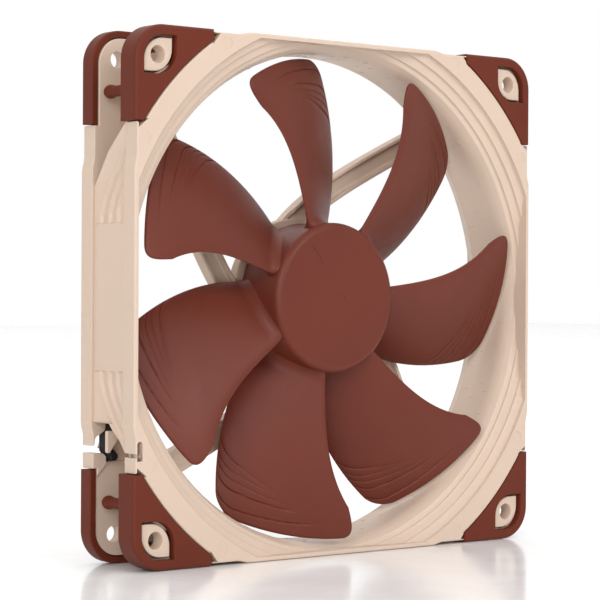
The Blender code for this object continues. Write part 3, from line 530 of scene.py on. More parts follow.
def flange_side(notch):
    """One side of the square flange, swollen along its middle."""
    side = [(EDGE_HALF, -notch)]
    side += eased((EDGE_HALF, -SWELL_START), (HALF, -SWELL_FULL), 8)
    side += eased((HALF, SWELL_FULL), (EDGE_HALF, SWELL_START), 8)
    return side + [(EDGE_HALF, notch)]


def four_sides(one_side):
    outline = []
    for quarters in range(4):
        outline += quarter_turn(one_side, quarters)
    return outline


def flange_outline():
    """The outer half of a flange, cut back to an arc at its corners where the pads lie."""
    notch = PAD_END - GAP
    start = math.degrees(math.asin(notch / FLANGE_ARC))
    corner = arc(0.0, 0.0, FLANGE_ARC, start, 90.0 - start, 40)
    return four_sides(flange_side(notch) + corner)


def plate_outline():
    """The inner half of a flange, with the corner plates that the pads wrap round."""
    rim = PAD_CORNER_R - PAD_WALL - GAP
    notch = PAD_END - GAP - PLATE_INSET
    corner = [(PLATE_HALF, notch)] + arc(PAD_CORNER, PAD_CORNER, rim, 0.0, 90.0, 20)
    corner += [(notch, PLATE_HALF)]
    side = [(x - PLATE_INSET, z) for x, z in flange_side(notch)]
    return four_sides(side + corner)


def pad_outline():
    """A pad seen from the front, with weights that round its outer edge more than its arc."""
    start = math.degrees(math.asin(PAD_END / PAD_ARC))
    outer = [(HALF, PAD_END)] + arc(PAD_CORNER, PAD_CORNER, PAD_CORNER_R, 0.0, 90.0, 24)
    outer += [(PAD_END, HALF)]
    inner = arc(0.0, 0.0, PAD_ARC, 90.0 - start, start, 30)
    return outer + inner, [1.0] * len(outer) + [0.3] * len(inner)


def pad_pocket_outline():
    """The hollow inside a pad's rim, open towards the fan's middle."""
    inside = HALF - PAD_WALL
    end = PAD_END - 1.0
    outline = [(inside, end)]
    outline += arc(PAD_CORNER, PAD_CORNER, PAD_CORNER_R - PAD_WALL, 0.0, 90.0, 20)
    return outline + [(end, inside), (end, end)]


def leaf_outline(half):
    """The leaf-shaped boss round a hole: two round corners and two sharp ones."""
    low = HOLE_PITCH - half
    high = HOLE_PITCH + half
    outline = arc(high - LEAF_R, high - LEAF_R, LEAF_R, 0.0, 90.0, 16) + [(low, high)]
    return outline + arc(low + LEAF_R, low + LEAF_R, LEAF_R, 180.0, 270.0, 16) + [(high, low)]


def circle(x, z, radius, steps=40):
    return arc(x, z, radius, 0.0, 360.0 * (steps - 1) / steps, steps - 1)


def strut_frame(radius, turn):
    """A point of a strut's centre line, and the direction across the strut."""
    angle = math.radians(STRUT_PHASE + STRUT_TURN / radius + turn)
    slope = -math.radians(STRUT_TURN) / (radius * radius)
    out = Vector((math.cos(angle), math.sin(angle)))
    along = (out + radius * slope * Vector((-out.y, out.x))).normalized()
    return out * radius, Vector((-along.y, along.x))


def strut_outline(turn, width, start_r, end_r, steps=40):
    left = []
    right = []
    for index in range(steps + 1):
        place, across = strut_frame(start_r + (end_r - start_r) * index / steps, turn)
        left.append(tuple(place + across * width / 2))
        right.append(tuple(place - across * width / 2))
    return left + right[::-1]


# ---- frame


def square_bar(name, half):
    return box(name, (-half, -CUTTER_HALF, -half), (half, CUTTER_HALF, half))


def stepped_bore():
    """The stepped inlet, the duct and the flared outlet, as one cutting tool."""
    profile = [
        (0.0, -14.0), (75.1, -14.0), (75.05, -12.6), (74.9, -12.3), (74.85, -11.5), (74.6, -11.15),
        (72.95, -10.75), (72.7, -10.6), (72.6, -9.95), (72.35, -9.7), (70.6, -9.35), (70.35, -9.2),
        (70.25, -8.65), (70.0, -8.4), (69.15, -8.2), (68.9, -8.0), (68.6, -7.4), (68.1, -6.6),
        (67.6, -5.4), (67.35, -4.2), (DUCT_R, -3.0), (DUCT_R, 7.6), (67.9, 8.6), (69.0, 10.4),
        (70.0, 12.2), (70.7, 14.0), (0.0, 14.0),
    ]
    return combine(turned("bore", profile, 256), square_bar("limit", BORE_HALF), "INTERSECT")


# A side wall's ridges and rear edge: (distance along from the middle, y)
RIDGE_START = 18.9
RIDGE_DEPTH = 0.8
RIDGES = [
    [(RIDGE_START, 4.75), (21.5, 4.77), (25.1, 3.36), (30.3, 0.22), (34.3, -3.43), (37.4, -6.5),
     (39.0, -8.0)],
    [(RIDGE_START, 0.65), (22.0, 0.68), (26.1, -0.87), (29.9, -3.47), (33.0, -6.05), (35.2, -8.0)],
    [(RIDGE_START, -3.15), (22.5, -3.12), (25.5, -4.3), (27.8, -5.7), (31.5, -8.0)],
]
WALL_EDGE = [
    (RIDGE_START, 7.5), (28.2, 7.5), (29.0, 7.0), (37.7, 0.82), (43.9, -5.95), (45.6, -8.0),
]
CLIP_EDGE = [
    (RIDGE_START, 7.5), (32.5, 7.5), (32.6, 0.0), (34.4, -1.8), (36.7, -4.9), (39.9, -7.6),
    (40.5, -8.0),
]
# A ridge's fall: the share of its width and of its depth. The rearmost one falls more evenly
RIDGE_FALL = [(0.0, 0.0), (0.25, 0.12), (0.5, 0.45), (0.75, 0.85), (1.0, 1.0)]
REAR_FALL = [(0.0, 0.0), (0.25, 0.27), (0.5, 0.55), (0.75, 0.85), (1.0, 1.0)]


def along_line(line, along):
    return float(np.interp(along, [z for z, _ in line], [y for _, y in line]))


def wall_section(along, edge):
    """The (y, outward) points across a side wall at one height along it."""
    front = -FLANGE_INNER_Y - 0.3
    rear = along_line(edge, along)
    depth = RIDGE_DEPTH * min(1.0, max(0.0, (along - RIDGE_START) / 0.5))
    points = []
    bands = [rear] + [along_line(ridge, along) for ridge in RIDGES] + [front]
    for number, (left, right) in enumerate(zip(bands, bands[1:])):
        left = max(min(left, rear), front + 0.02 * (len(bands) - number))
        right = max(min(right, rear), front + 0.02 * (len(bands) - number - 1))
        width = left - right
        fall = width * 0.78 if number == 0 else min(0.9, width * 0.4)
        bottom = depth * min(1.0, width / 1.6)
        for step, share in REAR_FALL if number == 0 else RIDGE_FALL:
            points.append((left - fall * step, -bottom * share))
        for step in (0.2, 0.45, 0.7, 0.88, 1.0):
            rise = 1.0 - step ** 1.6
            points.append((left - fall - (width - fall) * step, -bottom * rise))
    return points


def side_wall(quarters):
    """One wall between the flanges, with three swept ridges towards each corner."""
    rows = []
    heights = np.unique(np.concatenate([
        np.linspace(0.0, RIDGE_START - 0.05, 6), np.linspace(RIDGE_START, 19.5, 5),
        np.linspace(19.5, 45.4, 66), [32.5, 32.6],
    ]))
    for sign in (-1, 1):
        edge = CLIP_EDGE if quarters == LEAD_QUARTER and sign > 0 else WALL_EDGE
        for along in heights if sign > 0 else heights[:0:-1]:
            section = wall_section(max(along, RIDGE_START), edge)
            rows.append([(WALL_OUTER + out, y, sign * along) for y, out in section])
    outer = np.array(rows)
    inner = outer.copy()
    inner[:, :, 0] = WALL_INNER
    grids = [outer, inner, np.stack([outer[0], inner[0]]), np.stack([outer[-1], inner[-1]]),
             np.stack([outer[:, 0], inner[:, 0]]), np.stack([outer[:, -1], inner[:, -1]])]
    wall = from_grids("wall", grids, 0.0004)
    wall.data.transform(Matrix.Rotation(-math.radians(90.0 * quarters), 4, "Y"))
    return wall


def strut(quarters):
    """One swept strut with a hollow face, shallower on the one with the lead's channel behind."""
    half = STRUT_WIDTH / 2
    front = STRUT_FRONT
    floor_y = 9.45 if quarters == LEAD_QUARTER else 10.5
    section = [(-half, 12.35), (-half, front + 0.35), (-half + 0.12, front + 0.1),
               (-half + 0.35, front), (-half + 0.75, front), (-half + 1.0, front + 0.1),
               (-half + 1.3, floor_y - 0.25), (-half + 1.7, floor_y)]
    section += [(-across, y) for across, y in section[::-1]]
    rows = []
    for index in range(61):
        radius = STRUT_START + (STRUT_END - STRUT_START) * index / 60
        place, across = strut_frame(radius, 90.0 * quarters)
        sink = 0.6 * min(1.0, max(0.0, (BASE_R - radius) / 0.8))
        line = []
        for side, y in section + section[:1]:
            point = place + across * side
            line.append((point.x, max(y, front + sink), point.y))
        rows.append(line)
    item = from_grids("strut", [np.array(rows)], 0.001)
    bm = bmesh.new()
    bm.from_mesh(item.data)
    bmesh.ops.holes_fill(bm, edges=[edge for edge in bm.edges if edge.is_boundary])
    bmesh.ops.recalc_face_normals(bm, faces=bm.faces)
    bm.to_mesh(item.data)
    bm.free()
    return item


def motor_base():
    tube_bore, tube_front, tube_r, front = 4.3, -4.8, 5.6, 9.1
    profile = [
        (0.0, front + 0.6), (tube_bore, front + 0.6), (tube_bore, tube_front),
        (tube_r - 0.2, tube_front), (tube_r, tube_front + 0.2), (tube_r, front - 0.6),
        (tube_r + 0.6, front), (BASE_R - 0.3, front), (BASE_R, front + 0.3),
        (BASE_R, FACE_Y - 0.5), (BASE_R - 0.4, FACE_Y - 0.1), (LABEL_R + 1.0, FACE_Y - 0.1),
        (LABEL_R + GAP, FACE_Y - 0.25), (LABEL_R + GAP, FACE_Y - 0.6), (0.0, FACE_Y - 0.6),
    ]
    return turned("base", profile, 128)


def hole(x, z, radius, face, start, end):
    """A hole along Y whose mouth at the outer face is softly flared."""
    layers = [(start, 0.0), (end - 0.35, 0.0), (end - 0.12, -0.1), (end, -0.3), (end + 1.6, -0.4)]
    return layered("hole", circle(x, z, radius), faced(face, layers))


def stem_place(face, sign_x, sign_z):
    if face < 0:
        return STEM_ACROSS * sign_x, STEM_ALONG * sign_z
    return STEM_ALONG * sign_x, STEM_ACROSS * sign_z


def band_outline(path, half):
    """A band of even width along an (x, z) path, smoothed."""
    line = smooth_line([Vector((x, 0.0, z)) for x, z in path], 0.8)[0][:, [0, 2]]
    ahead = np.gradient(line, axis=0)
    ahead /= np.linalg.norm(ahead, axis=1)[:, None]
    side = np.stack([-ahead[:, 1], ahead[:, 0]], 1) * half
    return [tuple(point) for point in line + side] + [tuple(point) for point in (line - side)[::-1]]


def cable_cutters():
    """The lead's way: the channel behind a strut, the well, the groove and the clip's opening."""
    well = strut_frame(17.6, LEAD_STRUT)[0].normalized() * 19.0
    slit = [(-72.0, -39.7), (-72.0, -40.8), (-67.9, -40.8), (-67.9, -39.7)]
    key = arc(-68.1, -37.4, 0.8, 0.0, 180.0, 12) + [(-68.9, -41.6), (-67.3, -41.6)]
    return [
        layered("channel", strut_outline(LEAD_STRUT, CHANNEL_WIDTH, 18.3, 74.5),
                [(CHANNEL_FLOOR, 0.0), (TOOL_END, -0.15)]),
        turned("well", [(0.0, 8.1), (WELL_R, 8.1), (WELL_R, TOOL_END), (0.0, TOOL_END)], 40,
               (well.x, 0.0, well.y)),
        layered("groove", band_outline(ANCHOR_PATH, ANCHOR_HALF + GAP),
                [(9.0, 0.0), (TOOL_END, -0.1)]),
        turned("boot_hole", [(0.0, 9.0), (2.5, 9.0), (2.5, 12.2), (2.9, TOOL_END), (0.0, TOOL_END)],
               40, (BOOT_X, 0.0, BOOT_Z)),
        layered("opening", CLIP_OPENING,
                [(6.4, -0.35), (7.05, -0.2), (7.5, 0.0), (12.2, 0.0), (TOOL_END, -0.4)]),
        layered("slit", slit, [(-TOOL_END, 0.0), (-6.0, 0.0)]),
        layered("key", key, [(-TOOL_END, -0.1), (-12.3, 0.0), (-9.8, 0.0)]),
    ]


# Small round marks on the front face
MARKS = [
    (-66.8, 40.8), (-65.0, -42.9), (-41.6, -65.4), (65.6, -40.5), (40.0, 67.0), (-41.0, 66.6),
    (66.4, 41.0), (41.4, -66.0),
]
MARK_R = 1.65
# The pocket in a flange's edge where a pad's end tucks in
POCKET = [(68.95, 45.6), (65.9, 45.6), (66.95, 44.75), (68.95, 43.25)]


def frame_cutters():
    """Every hole, slot, pocket and mark that is cut into the joined frame."""
    tools = cable_cutters()
    inner = FLANGE_INNER_Y - 1.0
    for sign_x, sign_z in CORNERS:
        for face in (-1, 1):
            x, z = HOLE_PITCH * sign_x, HOLE_PITCH * sign_z
            tools.append(hole(x, z, HOLE_R, face, inner, BOSS_FACE))
            x, z = stem_place(face, sign_x, sign_z)
            tools.append(hole(x, z, STEM_R + 0.12, face, inner, PLATE_Y))
            for pocket in (POCKET, [(z, x) for x, z in POCKET]):
                layers = faced(face, [(8.0, 0.0), (13.2, 0.0)])
                tools.append(layered("pocket", mirrored(pocket, sign_x, sign_z), layers))
    for x, z in MARKS:
        tools.append(layered("mark", circle(x, z, MARK_R, 28), [(-13.2, -0.1), (-12.4, 0.05)]))
    return merge("cutters", tools)


def duct_marks():
    """Small raised dashes in staggered rows on the duct's wall."""
    around = 60
    shape = Matrix.Diagonal((0.18, 1.1, 0.3, 1.0))
    items = []
    for row, y in enumerate((-3.4, -0.6, 2.2, 5.0)):
        for index in range(around):
            angle = 2 * math.pi * (index + 0.37 * row) / around
            if (index * 7 + row * 5) % 3 == 0:
                continue
            bm = bmesh.new()
            bmesh.ops.create_uvsphere(bm, u_segments=10, v_segments=6, radius=1.0, matrix=shape)
            turn = Matrix.Rotation(-angle, 4, "Y") @ Matrix.Translation((DUCT_R + 0.02, y, 0.0))
            turn = turn @ Matrix.Rotation(math.radians(8.0), 4, "X")
            bmesh.ops.transform(bm, matrix=turn, verts=bm.verts)
            items.append(solid("dash", bm))
    present(merge("duct_dashes", items), SAND, "housing", [])


def make_frame():
    shells = []
    for face in (-1, 1):
        plate = rounded(FLANGE_INNER_Y, PLATE_Y, 0.25, 0.2)
        shells.append(layered("plates", plate_outline(), faced(face, plate)))
        flange = rounded(PLATE_Y - 1.2, FACE_Y, 0.02, 0.55)
        shells.append(layered("flange", flange_outline(), faced(face, flange)))
    end = FACE_Y - 0.9
    duct = turned("duct", [(WALL_INNER, -end), (DUCT_OUTER_R, -end), (DUCT_OUTER_R, end),
                           (WALL_INNER, end)], 256)
    shells.append(combine(duct, square_bar("square", DUCT_HALF), "INTERSECT"))
    shells += [side_wall(quarters) for quarters in range(4)]
    body = merge("frame_moulding", shells)
    combine(body, stepped_bore(), "DIFFERENCE", crossing=True)
    recess = layered("recess", LEAD_RECESS, [(6.0, -0.2), (FLANGE_INNER_Y, -0.2), (7.9, 0.0)])
    combine(body, recess, "DIFFERENCE")
    added = [body, motor_base()] + [strut(quarters) for quarters in range(4)]
    boss = rounded(PLATE_Y - 1.0, BOSS_FACE, 0.1, 0.28)
    for face in (-1, 1):
        for sign_x, sign_z in CORNERS:
            leaf = mirrored(leaf_outline(LEAF_HALF), sign_x, sign_z)
            added.append(layered("boss", leaf, faced(face, boss)))
    added.append(layered("post", CLIP_POST, rounded(0.9, 2.1, 0.15, 0.1)))
    body = merge("frame_moulding", added)
    combine(body, frame_cutters(), "DIFFERENCE", crossing=True)
    present(body, SAND, "housing", ["frame"], sharp=28.0)


# ---- pads


def make_pad(face, sign_x, sign_z, node):
    """A soft corner pad with its window, its rim and its pull-through stem."""
    outline, weights = pad_outline()
    if sign_x * sign_z < 0:
        outline = outline[::-1]
        weights = weights[::-1]
    outline = mirrored(outline, sign_x, sign_z)
    rim_y = FACE_Y - PAD_REACH[face]
    layers = rounded(rim_y, FACE_Y, 0.45, 0.95, 6)
    pad = layered(node + "_moulding", outline, faced(face, layers), weights)
    pocket = mirrored(pad_pocket_outline(), sign_x, sign_z)
    layers = [(rim_y - 1.0, -0.25), (rim_y + 0.2, 0.0), (FACE_Y - PAD_PLATE, 0.0)]
    combine(pad, layered("pocket", pocket, faced(face, layers)), "DIFFERENCE")
    window = mirrored(leaf_outline(LEAF_HALF + WINDOW_GAP), sign_x, sign_z)
    layers = [(9.0, 0.0), (FACE_Y - 0.35, 0.0), (FACE_Y - 0.1, -0.12), (FACE_Y, -0.4),
              (FACE_Y + 0.8, -0.5)]
    combine(pad, layered("window", window, faced(face, layers)), "DIFFERENCE")
    x, z = stem_place(face, sign_x, sign_z)
    start = FACE_Y - PAD_PLATE / 2
    end = face * BULB_Y[face]
    profile = [(0.0, start), (STEM_R, start), (STEM_R, end + 1.6), (STEM_R + 0.1, end + 1.3)]
    for step in range(1, 9):
        angle = math.radians(-50.0 + 140.0 * step / 8)
        profile.append((max(BULB_R * math.cos(angle), 0.0), end - 1.15 * BULB_R * math.sin(angle)))
    profile[-1] = (0.0, profile[-1][1])
    stem = turned("stem", [(radius, face * y) for radius, y in profile], 32, (x, 0.0, z))
    pad = merge(node + "_moulding", [pad, stem])
    present(pad, PAD, "housing", [node], sharp=38.0)


def make_pads():
    for face, side in ((-1, "front"), (1, "rear")):
        for (sign_x, sign_z), corner in CORNERS.items():
            make_pad(face, sign_x, sign_z, f"{side}_pad_{corner}")


# ---- impeller


def series(terms, value):
    return sum(term * value ** power for power, term in enumerate(terms))


def groove_depth(span, chord):
    """Shallow flow grooves that fan out on the rear half of a blade's front face, near its tip."""
    total = np.zeros_like(span)
    for trail_span, slope, end_chord, depth in GROOVES:
        across = (span - trail_span - slope * (chord - 1.0)) * (BLADE_TIP - HUB_R)
        groove = np.exp(-(across / 0.2) ** 2) + 0.28 * np.exp(-((across + 0.55) / 0.7) ** 2)
        total += depth * groove * np.clip((chord - end_chord) / 0.2, 0.0, 1.0) ** 0.8
    return total


def circle_share(value):
    return np.sqrt(np.maximum(0.0, 1.0 - value))


def blade_skin(span, chord, side):
    """Points of one blade's front (side -1) or rear (side 1) skin."""
    reach, fall = LEAD_CORNER
    lead_fall = fall * np.maximum(0.0, 1.0 - chord / reach) ** 2.5
    reach, fall = TRAIL_CORNER
    into_corner = np.maximum(0.0, 1.0 - (1.0 - chord) / reach)
    trail_fall = fall * (1.0 - circle_share(into_corner ** 2))
    radius = BLADE_ROOT + (BLADE_TIP - lead_fall - trail_fall - BLADE_ROOT) * span
    outward = (radius - HUB_R) / (BLADE_SPAN_REF - HUB_R)
    lead = series(LEAD_ANGLE, outward)
    trail = series(TRAIL_ANGLE, outward)
    lead_y = series(LEAD_DEPTH, outward)
    trail_y = series(TRAIL_DEPTH, outward)
    camber = series(CAMBER, outward)
    pitch = np.arctan2(trail_y - lead_y - 4.0 * camber * (2.0 * chord - 1.0),
                       radius * np.radians(lead - trail))
    from_middle = np.abs(2.0 * chord - 1.0)
    thick = (BLADE_THICK - BLADE_THIN_BY * span) * (1.0 - 0.15 * chord)
    thick *= circle_share(from_middle ** 9)
    thick *= circle_share(np.clip((span - TIP_ROUND) / (1.0 - TIP_ROUND), 0.0, 1.0) ** 2)
    fillet = ROOT_FILLET * np.clip(1.0 - (radius - BLADE_ROOT) / ROOT_FILLET_REACH, 0.0, 1.0) ** 2.6
    offset = side * (thick / 2 + fillet * circle_share(from_middle ** 6))
    if side < 0:
        offset += groove_depth(span, chord) * (thick > 0.5)
    angle = np.radians(lead + (trail - lead) * chord) + offset * np.sin(pitch) / radius
    middle_y = lead_y + (trail_y - lead_y) * chord + camber * 4.0 * chord * (1.0 - chord)
    return radius * np.cos(angle), middle_y + offset * np.cos(pitch), radius * np.sin(angle)


def hub_marks():
    """Two faint raised tool marks on the hub's face: a short bent stroke and a small arc."""
    stroke = [(-8.6, 13.65), (-8.0, 13.6), (-7.0, 12.25), (-6.0, 11.0), (-5.25, 9.9), (-5.4, 9.2)]
    small_arc = arc(1.9, -0.1, 1.05, -75.0, 75.0, 10)
    items = []
    for path in (stroke, small_arc):
        line = smooth_line([Vector((x, HUB_FACE + 0.03, z)) for x, z in path], 0.25)[0]
        items.append(tube("mark", line, 0.16, 8))
    return items


def make_impeller():
    rows = np.concatenate([
        np.linspace(0.0, 0.1, 16), np.linspace(0.11, 0.56, 26), np.linspace(0.565, 0.975, 110),
        TIP_ROUND + (1.0 - TIP_ROUND) * np.sin(np.linspace(0.0, np.pi / 2, 7)),
    ])
    columns = 0.5 - 0.5 * np.cos(np.linspace(0.0, np.pi, 66))
    span, chord = np.meshgrid(rows, columns, indexing="ij")
    skins = [np.stack(blade_skin(span, chord, side), -1) for side in (-1, 1)]
    grids = []
    for number in range(BLADES):
        turn = -2.0 * math.pi * number / BLADES
        spun = np.array([[math.cos(turn), 0.0, -math.sin(turn)], [0.0, 1.0, 0.0],
                         [math.sin(turn), 0.0, math.cos(turn)]])
        grids += [skin @ spun.T for skin in skins]
    blades = from_grids("blades", grids, 0.004)
    inside = HUB_FACE + 1.8
    rim = arc(HUB_R - HUB_RIM_R, HUB_FACE + HUB_RIM_R, HUB_RIM_R, -90.0, 0.0, 8)
    profile = [(0.0, HUB_FACE), (10.0, HUB_FACE)] + rim
    profile += [(HUB_R, HUB_BACK - 1.7), (HUB_R - 0.25, HUB_BACK - 1.6),
                (HUB_R - 0.25, HUB_BACK - 0.2), (HUB_R - 0.45, HUB_BACK), (HUB_BORE, HUB_BACK),
                (HUB_BORE, inside), (0.0, inside)]
    hub = turned("hub", profile, 160)
    impeller = merge("impeller_moulding", [hub, blades] + hub_marks())
    present(impeller, BROWN, "rotor", ["impeller"], sharp=50.0)


# ---- lead


LEAD_ROUTE = [
    (BOOT_X, BOOT_BACK, BOOT_Z), (-53.2, 16.6, -53.2), (-53.0, 18.2, -53.6),
    (-52.6, 19.3, -54.6), (-52.0, 20.1, -55.8), (-51.2, 20.5, -57.4), (-50.2, 20.8, -59.0),
    (-49.1, 21.2, -60.6), (-48.0, 21.6, -62.0), (-46.9, 22.3, -63.1), (-45.8, 23.3, -63.8),
    (-44.6, 24.9, -64.1),
]


def lead_points():
    """The lead's route: down behind the fan, two stacked turns, then in to the connector."""
    low = COIL_BOTTOM + LEAD_D / 2
    high = low + LEAD_D + 0.02
    points = [Vector(point) for point in LEAD_ROUTE]
    points += [Vector((-43.0, 27.5, high)), Vector((-41.9, 30.5, high))]
    start = math.radians(COIL_START)
    leave = math.radians(COIL_LEAVE)
    begin, length = COIL_CROSSING
    for share in np.linspace(0.0, 1.0, 71):
        angle = start - (4 * math.pi + start - leave) * share
        fall = min(1.0, max(0.0, (share - begin) / length))
        x, y = COIL_X + COIL_R * math.cos(angle), COIL_Y + COIL_R * math.sin(angle)
        points.append(Vector((x, y, high - (high - low) * fall * fall * (3 - 2 * fall))))
    centre_x = COIL_X + (COIL_R - TAIL_BEND_R) * math.cos(leave)
    centre_y = COIL_Y + (COIL_R - TAIL_BEND_R) * math.sin(leave)
    for step in range(1, 11):
        angle = leave - math.radians(TAIL_TURN) * step / 10
        x, y = centre_x + TAIL_BEND_R * math.cos(angle), centre_y + TAIL_BEND_R * math.sin(angle)
        points.append(Vector((x, y, low + TAIL_RISE * step / 10)))
    points.append(Vector((TAIL_END_X, centre_y + TAIL_BEND_R, low + TAIL_RISE)))
    return points


def smooth_line(points, spacing):
    """Evenly placed points on a smooth curve through the given ones."""
    dense = []
    padded = [points[0]] + list(points) + [points[-1]]
    for before, start, end, after in zip(padded, padded[1:], padded[2:], padded[3:]):
        for step in range(10):
            part = step / 10
            dense.append(0.5 * (2 * start + (end - before) * part
                                + (2 * before - 5 * start + 4 * end - after) * part ** 2
                                + (3 * start - before - 3 * end + after) * part ** 3))
    dense.append(points[-1])
    array = np.array([tuple(point) for point in dense])
    steps = [(b - a).length for a, b in zip(dense, dense[1:])]
    lengths = np.concatenate([[0.0], np.cumsum(steps)])
    wanted = np.linspace(0.0, lengths[-1], max(2, int(round(lengths[-1] / spacing))))
    even = np.stack([np.interp(wanted, lengths, array[:, axis]) for axis in range(3)], 1)
    return even, lengths[-1]


def make_lead():
    points, length = smooth_line(lead_points(), 1.1)
    curve = bpy.data.curves.new("lead", "CURVE")
    curve.dimensions = "3D"
    curve.bevel_depth = LEAD_D / 2 * MM
    curve.bevel_resolution = 6
    curve.use_fill_caps = True
    spline = curve.splines.new("POLY")
    spline.points.add(len(points) - 1)
    for target, point in zip(spline.points, points):
        target.co = (*(point * MM), 1.0)
    spline.use_smooth = True
    curve.materials.append(SLEEVE)
    lead = add_object("lead", curve)
    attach(lead, "housing")
    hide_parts("lead_cable", "lead_coil", "lead_tail")
    on_it = ["lead_anchor_moulding", "cable_tie_strap", "connector_shell"]
    on_it += [f"connector_contact_{number}" for number in FOUR]


def make_anchor():
    """The rubber piece in the clip, its band to the corner and the boot the lead leaves by."""
    band = layered("band", band_outline(ANCHOR_PATH, ANCHOR_HALF), rounded(9.3, 12.2, 0.3, 0.6))
    plug = layered("plug", ANCHOR_PLUG, rounded(5.5, 10.0, 0.35, 0.35))
    profile = [(0.0, 9.3), (1.9, 9.3), (2.2, 9.6)]
    for ridge in range(4):
        start = FACE_Y + 0.05 + ridge * 0.62
        reach = 2.2 - 0.1 * ridge
        profile += [(reach, start), (reach, start + 0.38), (reach - 0.28, start + 0.46),
                    (reach - 0.28, start + 0.58)]
    profile += [(1.75, BOOT_BACK), (0.0, BOOT_BACK)]
    boot = turned("boot", profile, 40, (BOOT_X, 0.0, BOOT_Z))
    anchor = merge("lead_anchor_moulding", [band, plug, boot])
    present(anchor, ANCHOR, "housing", ["lead_anchor"], sharp=40.0)


def make_flat_wires():
    """Four insulated wires side by side in the strut's channel, dropping through the base."""
    items = []
    wire_r = 0.52
    end = 73.2
    for number in range(4):
        beside = (number - 1.5) * 1.06
        route = []
        for index in range(30):
            radius = STRUT_START + (end - STRUT_START) * index / 29
            place, across = strut_frame(radius, LEAD_STRUT)
            point = place + across * beside
            y = CHANNEL_FLOOR + 0.3 + wire_r + 0.05 * math.sin(index * 0.7 + number)
            route.append(Vector((point.x, y, point.y)))
        items.append(tube("wire", smooth_line(route, 0.8)[0], wire_r, 12))
    wires = merge("strut_wires", items)
    present(wires, BLACK, "housing", ["strut_lead"], sharp=60.0)


def make_tie():
    near = COIL_X + COIL_R - LEAD_D / 2 - GAP
    far = COIL_X + COIL_R + LEAD_D / 2 + GAP
    low = FLOOR
    wall = 0.5
    high = COIL_BOTTOM + 2 * LEAD_D + GAP + wall
    outline = [(near - wall, low), (far + wall, low), (far + wall, high), (near - wall, high)]
    strap = layered("cable_tie_strap", outline, rounded(COIL_Y - 1.3, COIL_Y + 1.3, 0.2, 0.2))
    inner = [(near, low + wall), (far, low + wall), (far, high - wall), (near, high - wall)]
    hollow = layered("hollow", inner, [(COIL_Y - 3, 0.0), (COIL_Y + 3, 0.0)])
    combine(strap, hollow, "DIFFERENCE")
    present(strap, BLACK, "housing", ["cable_tie"])


def make_connector():
    """A plain four-way connector with two guide rails and open sockets."""
    low, high = (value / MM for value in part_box("connector_housing"))
    shell = box("connector_shell", low, (high.x, high.y, high.z - 1.2), 0.25)
    rails = []
    middle = (low.y + high.y) / 2
    for rail in (-3.2, 1.6):
        rails.append(box("rail", (low.x + 0.5, middle + rail - 0.6, low.z + 1.0),
                         (high.x - 1.0, middle + rail + 0.6, high.z), 0.15))
    shell = merge("connector_shell", [shell] + rails)
    cutters = []
    for number in FOUR:
        start, end = (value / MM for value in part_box(f"connector_contact_{number}"))
        cutters.append(box("socket", (start.x - 0.3, start.y - 0.3, start.z - 0.3),
                           (high.x + 1.0, end.y + 0.3, end.z + 0.3), 0.1))
        cutters.append(box("latch", (low.x + 2.0, start.y, low.z - 1.0),
                           (low.x + 4.5, end.y, low.z + 0.8)))
    combine(shell, merge("sockets", cutters), "DIFFERENCE", crossing=True)
    present(shell, BLACK, "housing", ["connector_housing"])


# ---- motor's inner parts


def dress_cad_nodes():
    """Finer materials on the CAD nodes that keep their shape."""
    looks = [
        (STEEL, ["rotor_yoke", "shaft", "snap_ring"]),
        (MAGNET, ["ring_magnet", "stabiliser_magnet"]),
        (BRASS, ["hub_bush", "bearing_shell"]),
        (BRONZE, ["bearing_bush"]),
        (ANCHOR, ["oil_seal"]),
        (BLACK, ["thrust_pad", "driver_chip", "hall_sensor", "resistor"]),
        (SHEETS, ["stator_core"]),
        (CREAM, ["insulator_front", "insulator_rear"]),
        (BOARD, ["circuit_board"]),
        (CERAMIC, ["capacitor"]),
        (PAPER, ["rear_label"]),
        (WIRE, [f"coil_{number}" for number in FOUR]),
        (TIN, [f"terminal_pin_{number}" for number in FOUR]),
        (TIN, [f"connector_contact_{number}" for number in FOUR]),
    ]
    for mat, names in looks:
        for name in names:
            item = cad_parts[name]
            item.data.materials.clear()
            item.data.materials.append(mat)


# ---- stage


CAMERA_PLACE = (-0.38170, -0.46572, 0.002616)
CAMERA_ANGLES = (38.8819, -0.3114, 0.3173)
TABLE_HALF = 3.0
# Each light: its name, its place, what it faces, its side, its power
LIGHTS = [
    ("key", (-2.3, -2.0, 1.0), (0.0, 0.0, 0.0), 1.8, 52.0),
    ("fill", (0.5, -2.9, 1.6), (0.0, 0.0, 0.0), 1.4, 36.0),
    ("top", (0.0, 0.6, 4.0), (0.0, 0.6, 0.0), 5.0, 70.0),
]


def make_camera():
    yaw, pitch, roll = (math.radians(angle) for angle in CAMERA_ANGLES)
    level = Vector((math.cos(yaw), -math.sin(yaw), 0.0))
    ahead = Vector((math.sin(yaw), math.cos(yaw), 0.0))
    forward = ahead * math.cos(pitch) + Vector((0.0, 0.0, math.sin(pitch)))
    upright = level.cross(forward)
    right = math.cos(roll) * level + math.sin(roll) * upright
    up = -math.sin(roll) * level + math.cos(roll) * upright
    data = bpy.data.cameras.new("camera")
    data.lens = 130.03
    data.sensor_width = 36.0
    data.clip_start = 0.01
    data.clip_end = 50.0
    camera = add_object("camera", data)
    turn = Matrix((right, up, -forward)).transposed().to_4x4()
    camera.matrix_world = Matrix.Translation(CAMERA_PLACE) @ turn
    bpy.context.scene.camera = camera


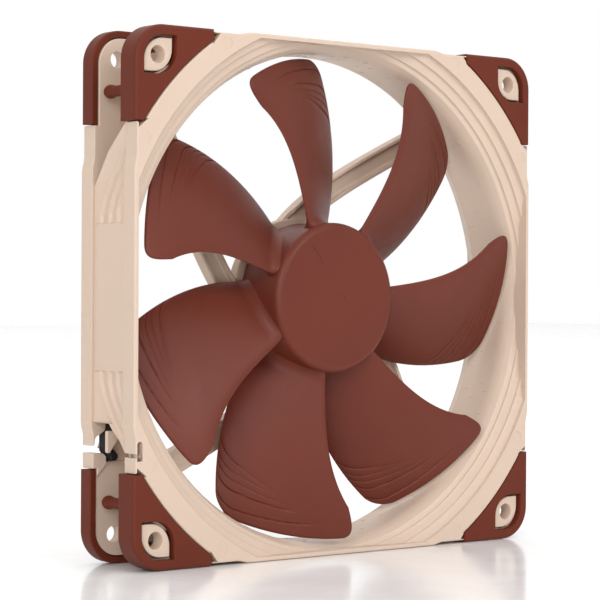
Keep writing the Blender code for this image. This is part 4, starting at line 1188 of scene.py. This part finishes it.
def make_lights():
    """Large soft boxes: the main one at the front left, a weaker one in front, a wide one above."""
    for name, place, target, side, power in LIGHTS:
        data = bpy.data.lights.new(name, "AREA")
        data.shape = "SQUARE"
        data.size = side
        data.energy = power
        light = add_object(name, data)
        light.location = place
        light.rotation_mode = "QUATERNION"
        aim = Vector(target) - Vector(place)
        light.rotation_quaternion = aim.to_track_quat("-Z", "Y")


def make_floor():
    """A large pale table top under the fan."""
    nodes = Nodes("table")
    drift = nodes.spread(nodes.noise(3.0, 2.0), 0.0, 1.0)
    nodes.feed("Base Color", nodes.blend(drift, (0.93, 0.93, 0.935), (0.96, 0.96, 0.96)))
    nodes.feed("Roughness", nodes.spread(nodes.noise(60.0, 3.0), 0.13, 0.2))
    nodes.shader.inputs["Specular IOR Level"].default_value = 0.6
    bm = bmesh.new()
    bmesh.ops.create_grid(bm, x_segments=24, y_segments=24, size=TABLE_HALF)
    for vert in bm.verts:
        vert.co.z = FLOOR * MM - 0.0001
    table = object_from("table_top", bm)
    table.data.materials.append(nodes.material)


def make_world():
    """A studio that is white behind the fan and half as bright on the other side."""
    world = bpy.data.worlds.new("studio")
    bpy.context.scene.world = world
    world.use_nodes = True
    tree = world.node_tree
    coords = tree.nodes.new("ShaderNodeTexCoord")
    behind = tree.nodes.new("ShaderNodeVectorMath")
    behind.operation = "DOT_PRODUCT"
    behind.inputs[1].default_value = (0.55, 0.68, 0.485)
    fade = tree.nodes.new("ShaderNodeMapRange")
    fade.interpolation_type = "SMOOTHSTEP"
    for socket, value in (("From Min", 0.0), ("From Max", 0.82), ("To Min", 0.5), ("To Max", 1.0)):
        fade.inputs[socket].default_value = value
    tree.links.new(coords.outputs["Generated"], behind.inputs[0])
    tree.links.new(behind.outputs["Value"], fade.inputs["Value"])
    tree.links.new(fade.outputs["Result"], tree.nodes["Background"].inputs["Color"])
    bpy.context.scene.view_settings.view_transform = "Standard"


make_camera()
make_world()
make_lights()
make_floor()
make_frame()
duct_marks()
make_pads()
make_impeller()
make_anchor()
make_flat_wires()
make_tie()
make_connector()
make_lead()
dress_cad_nodes()
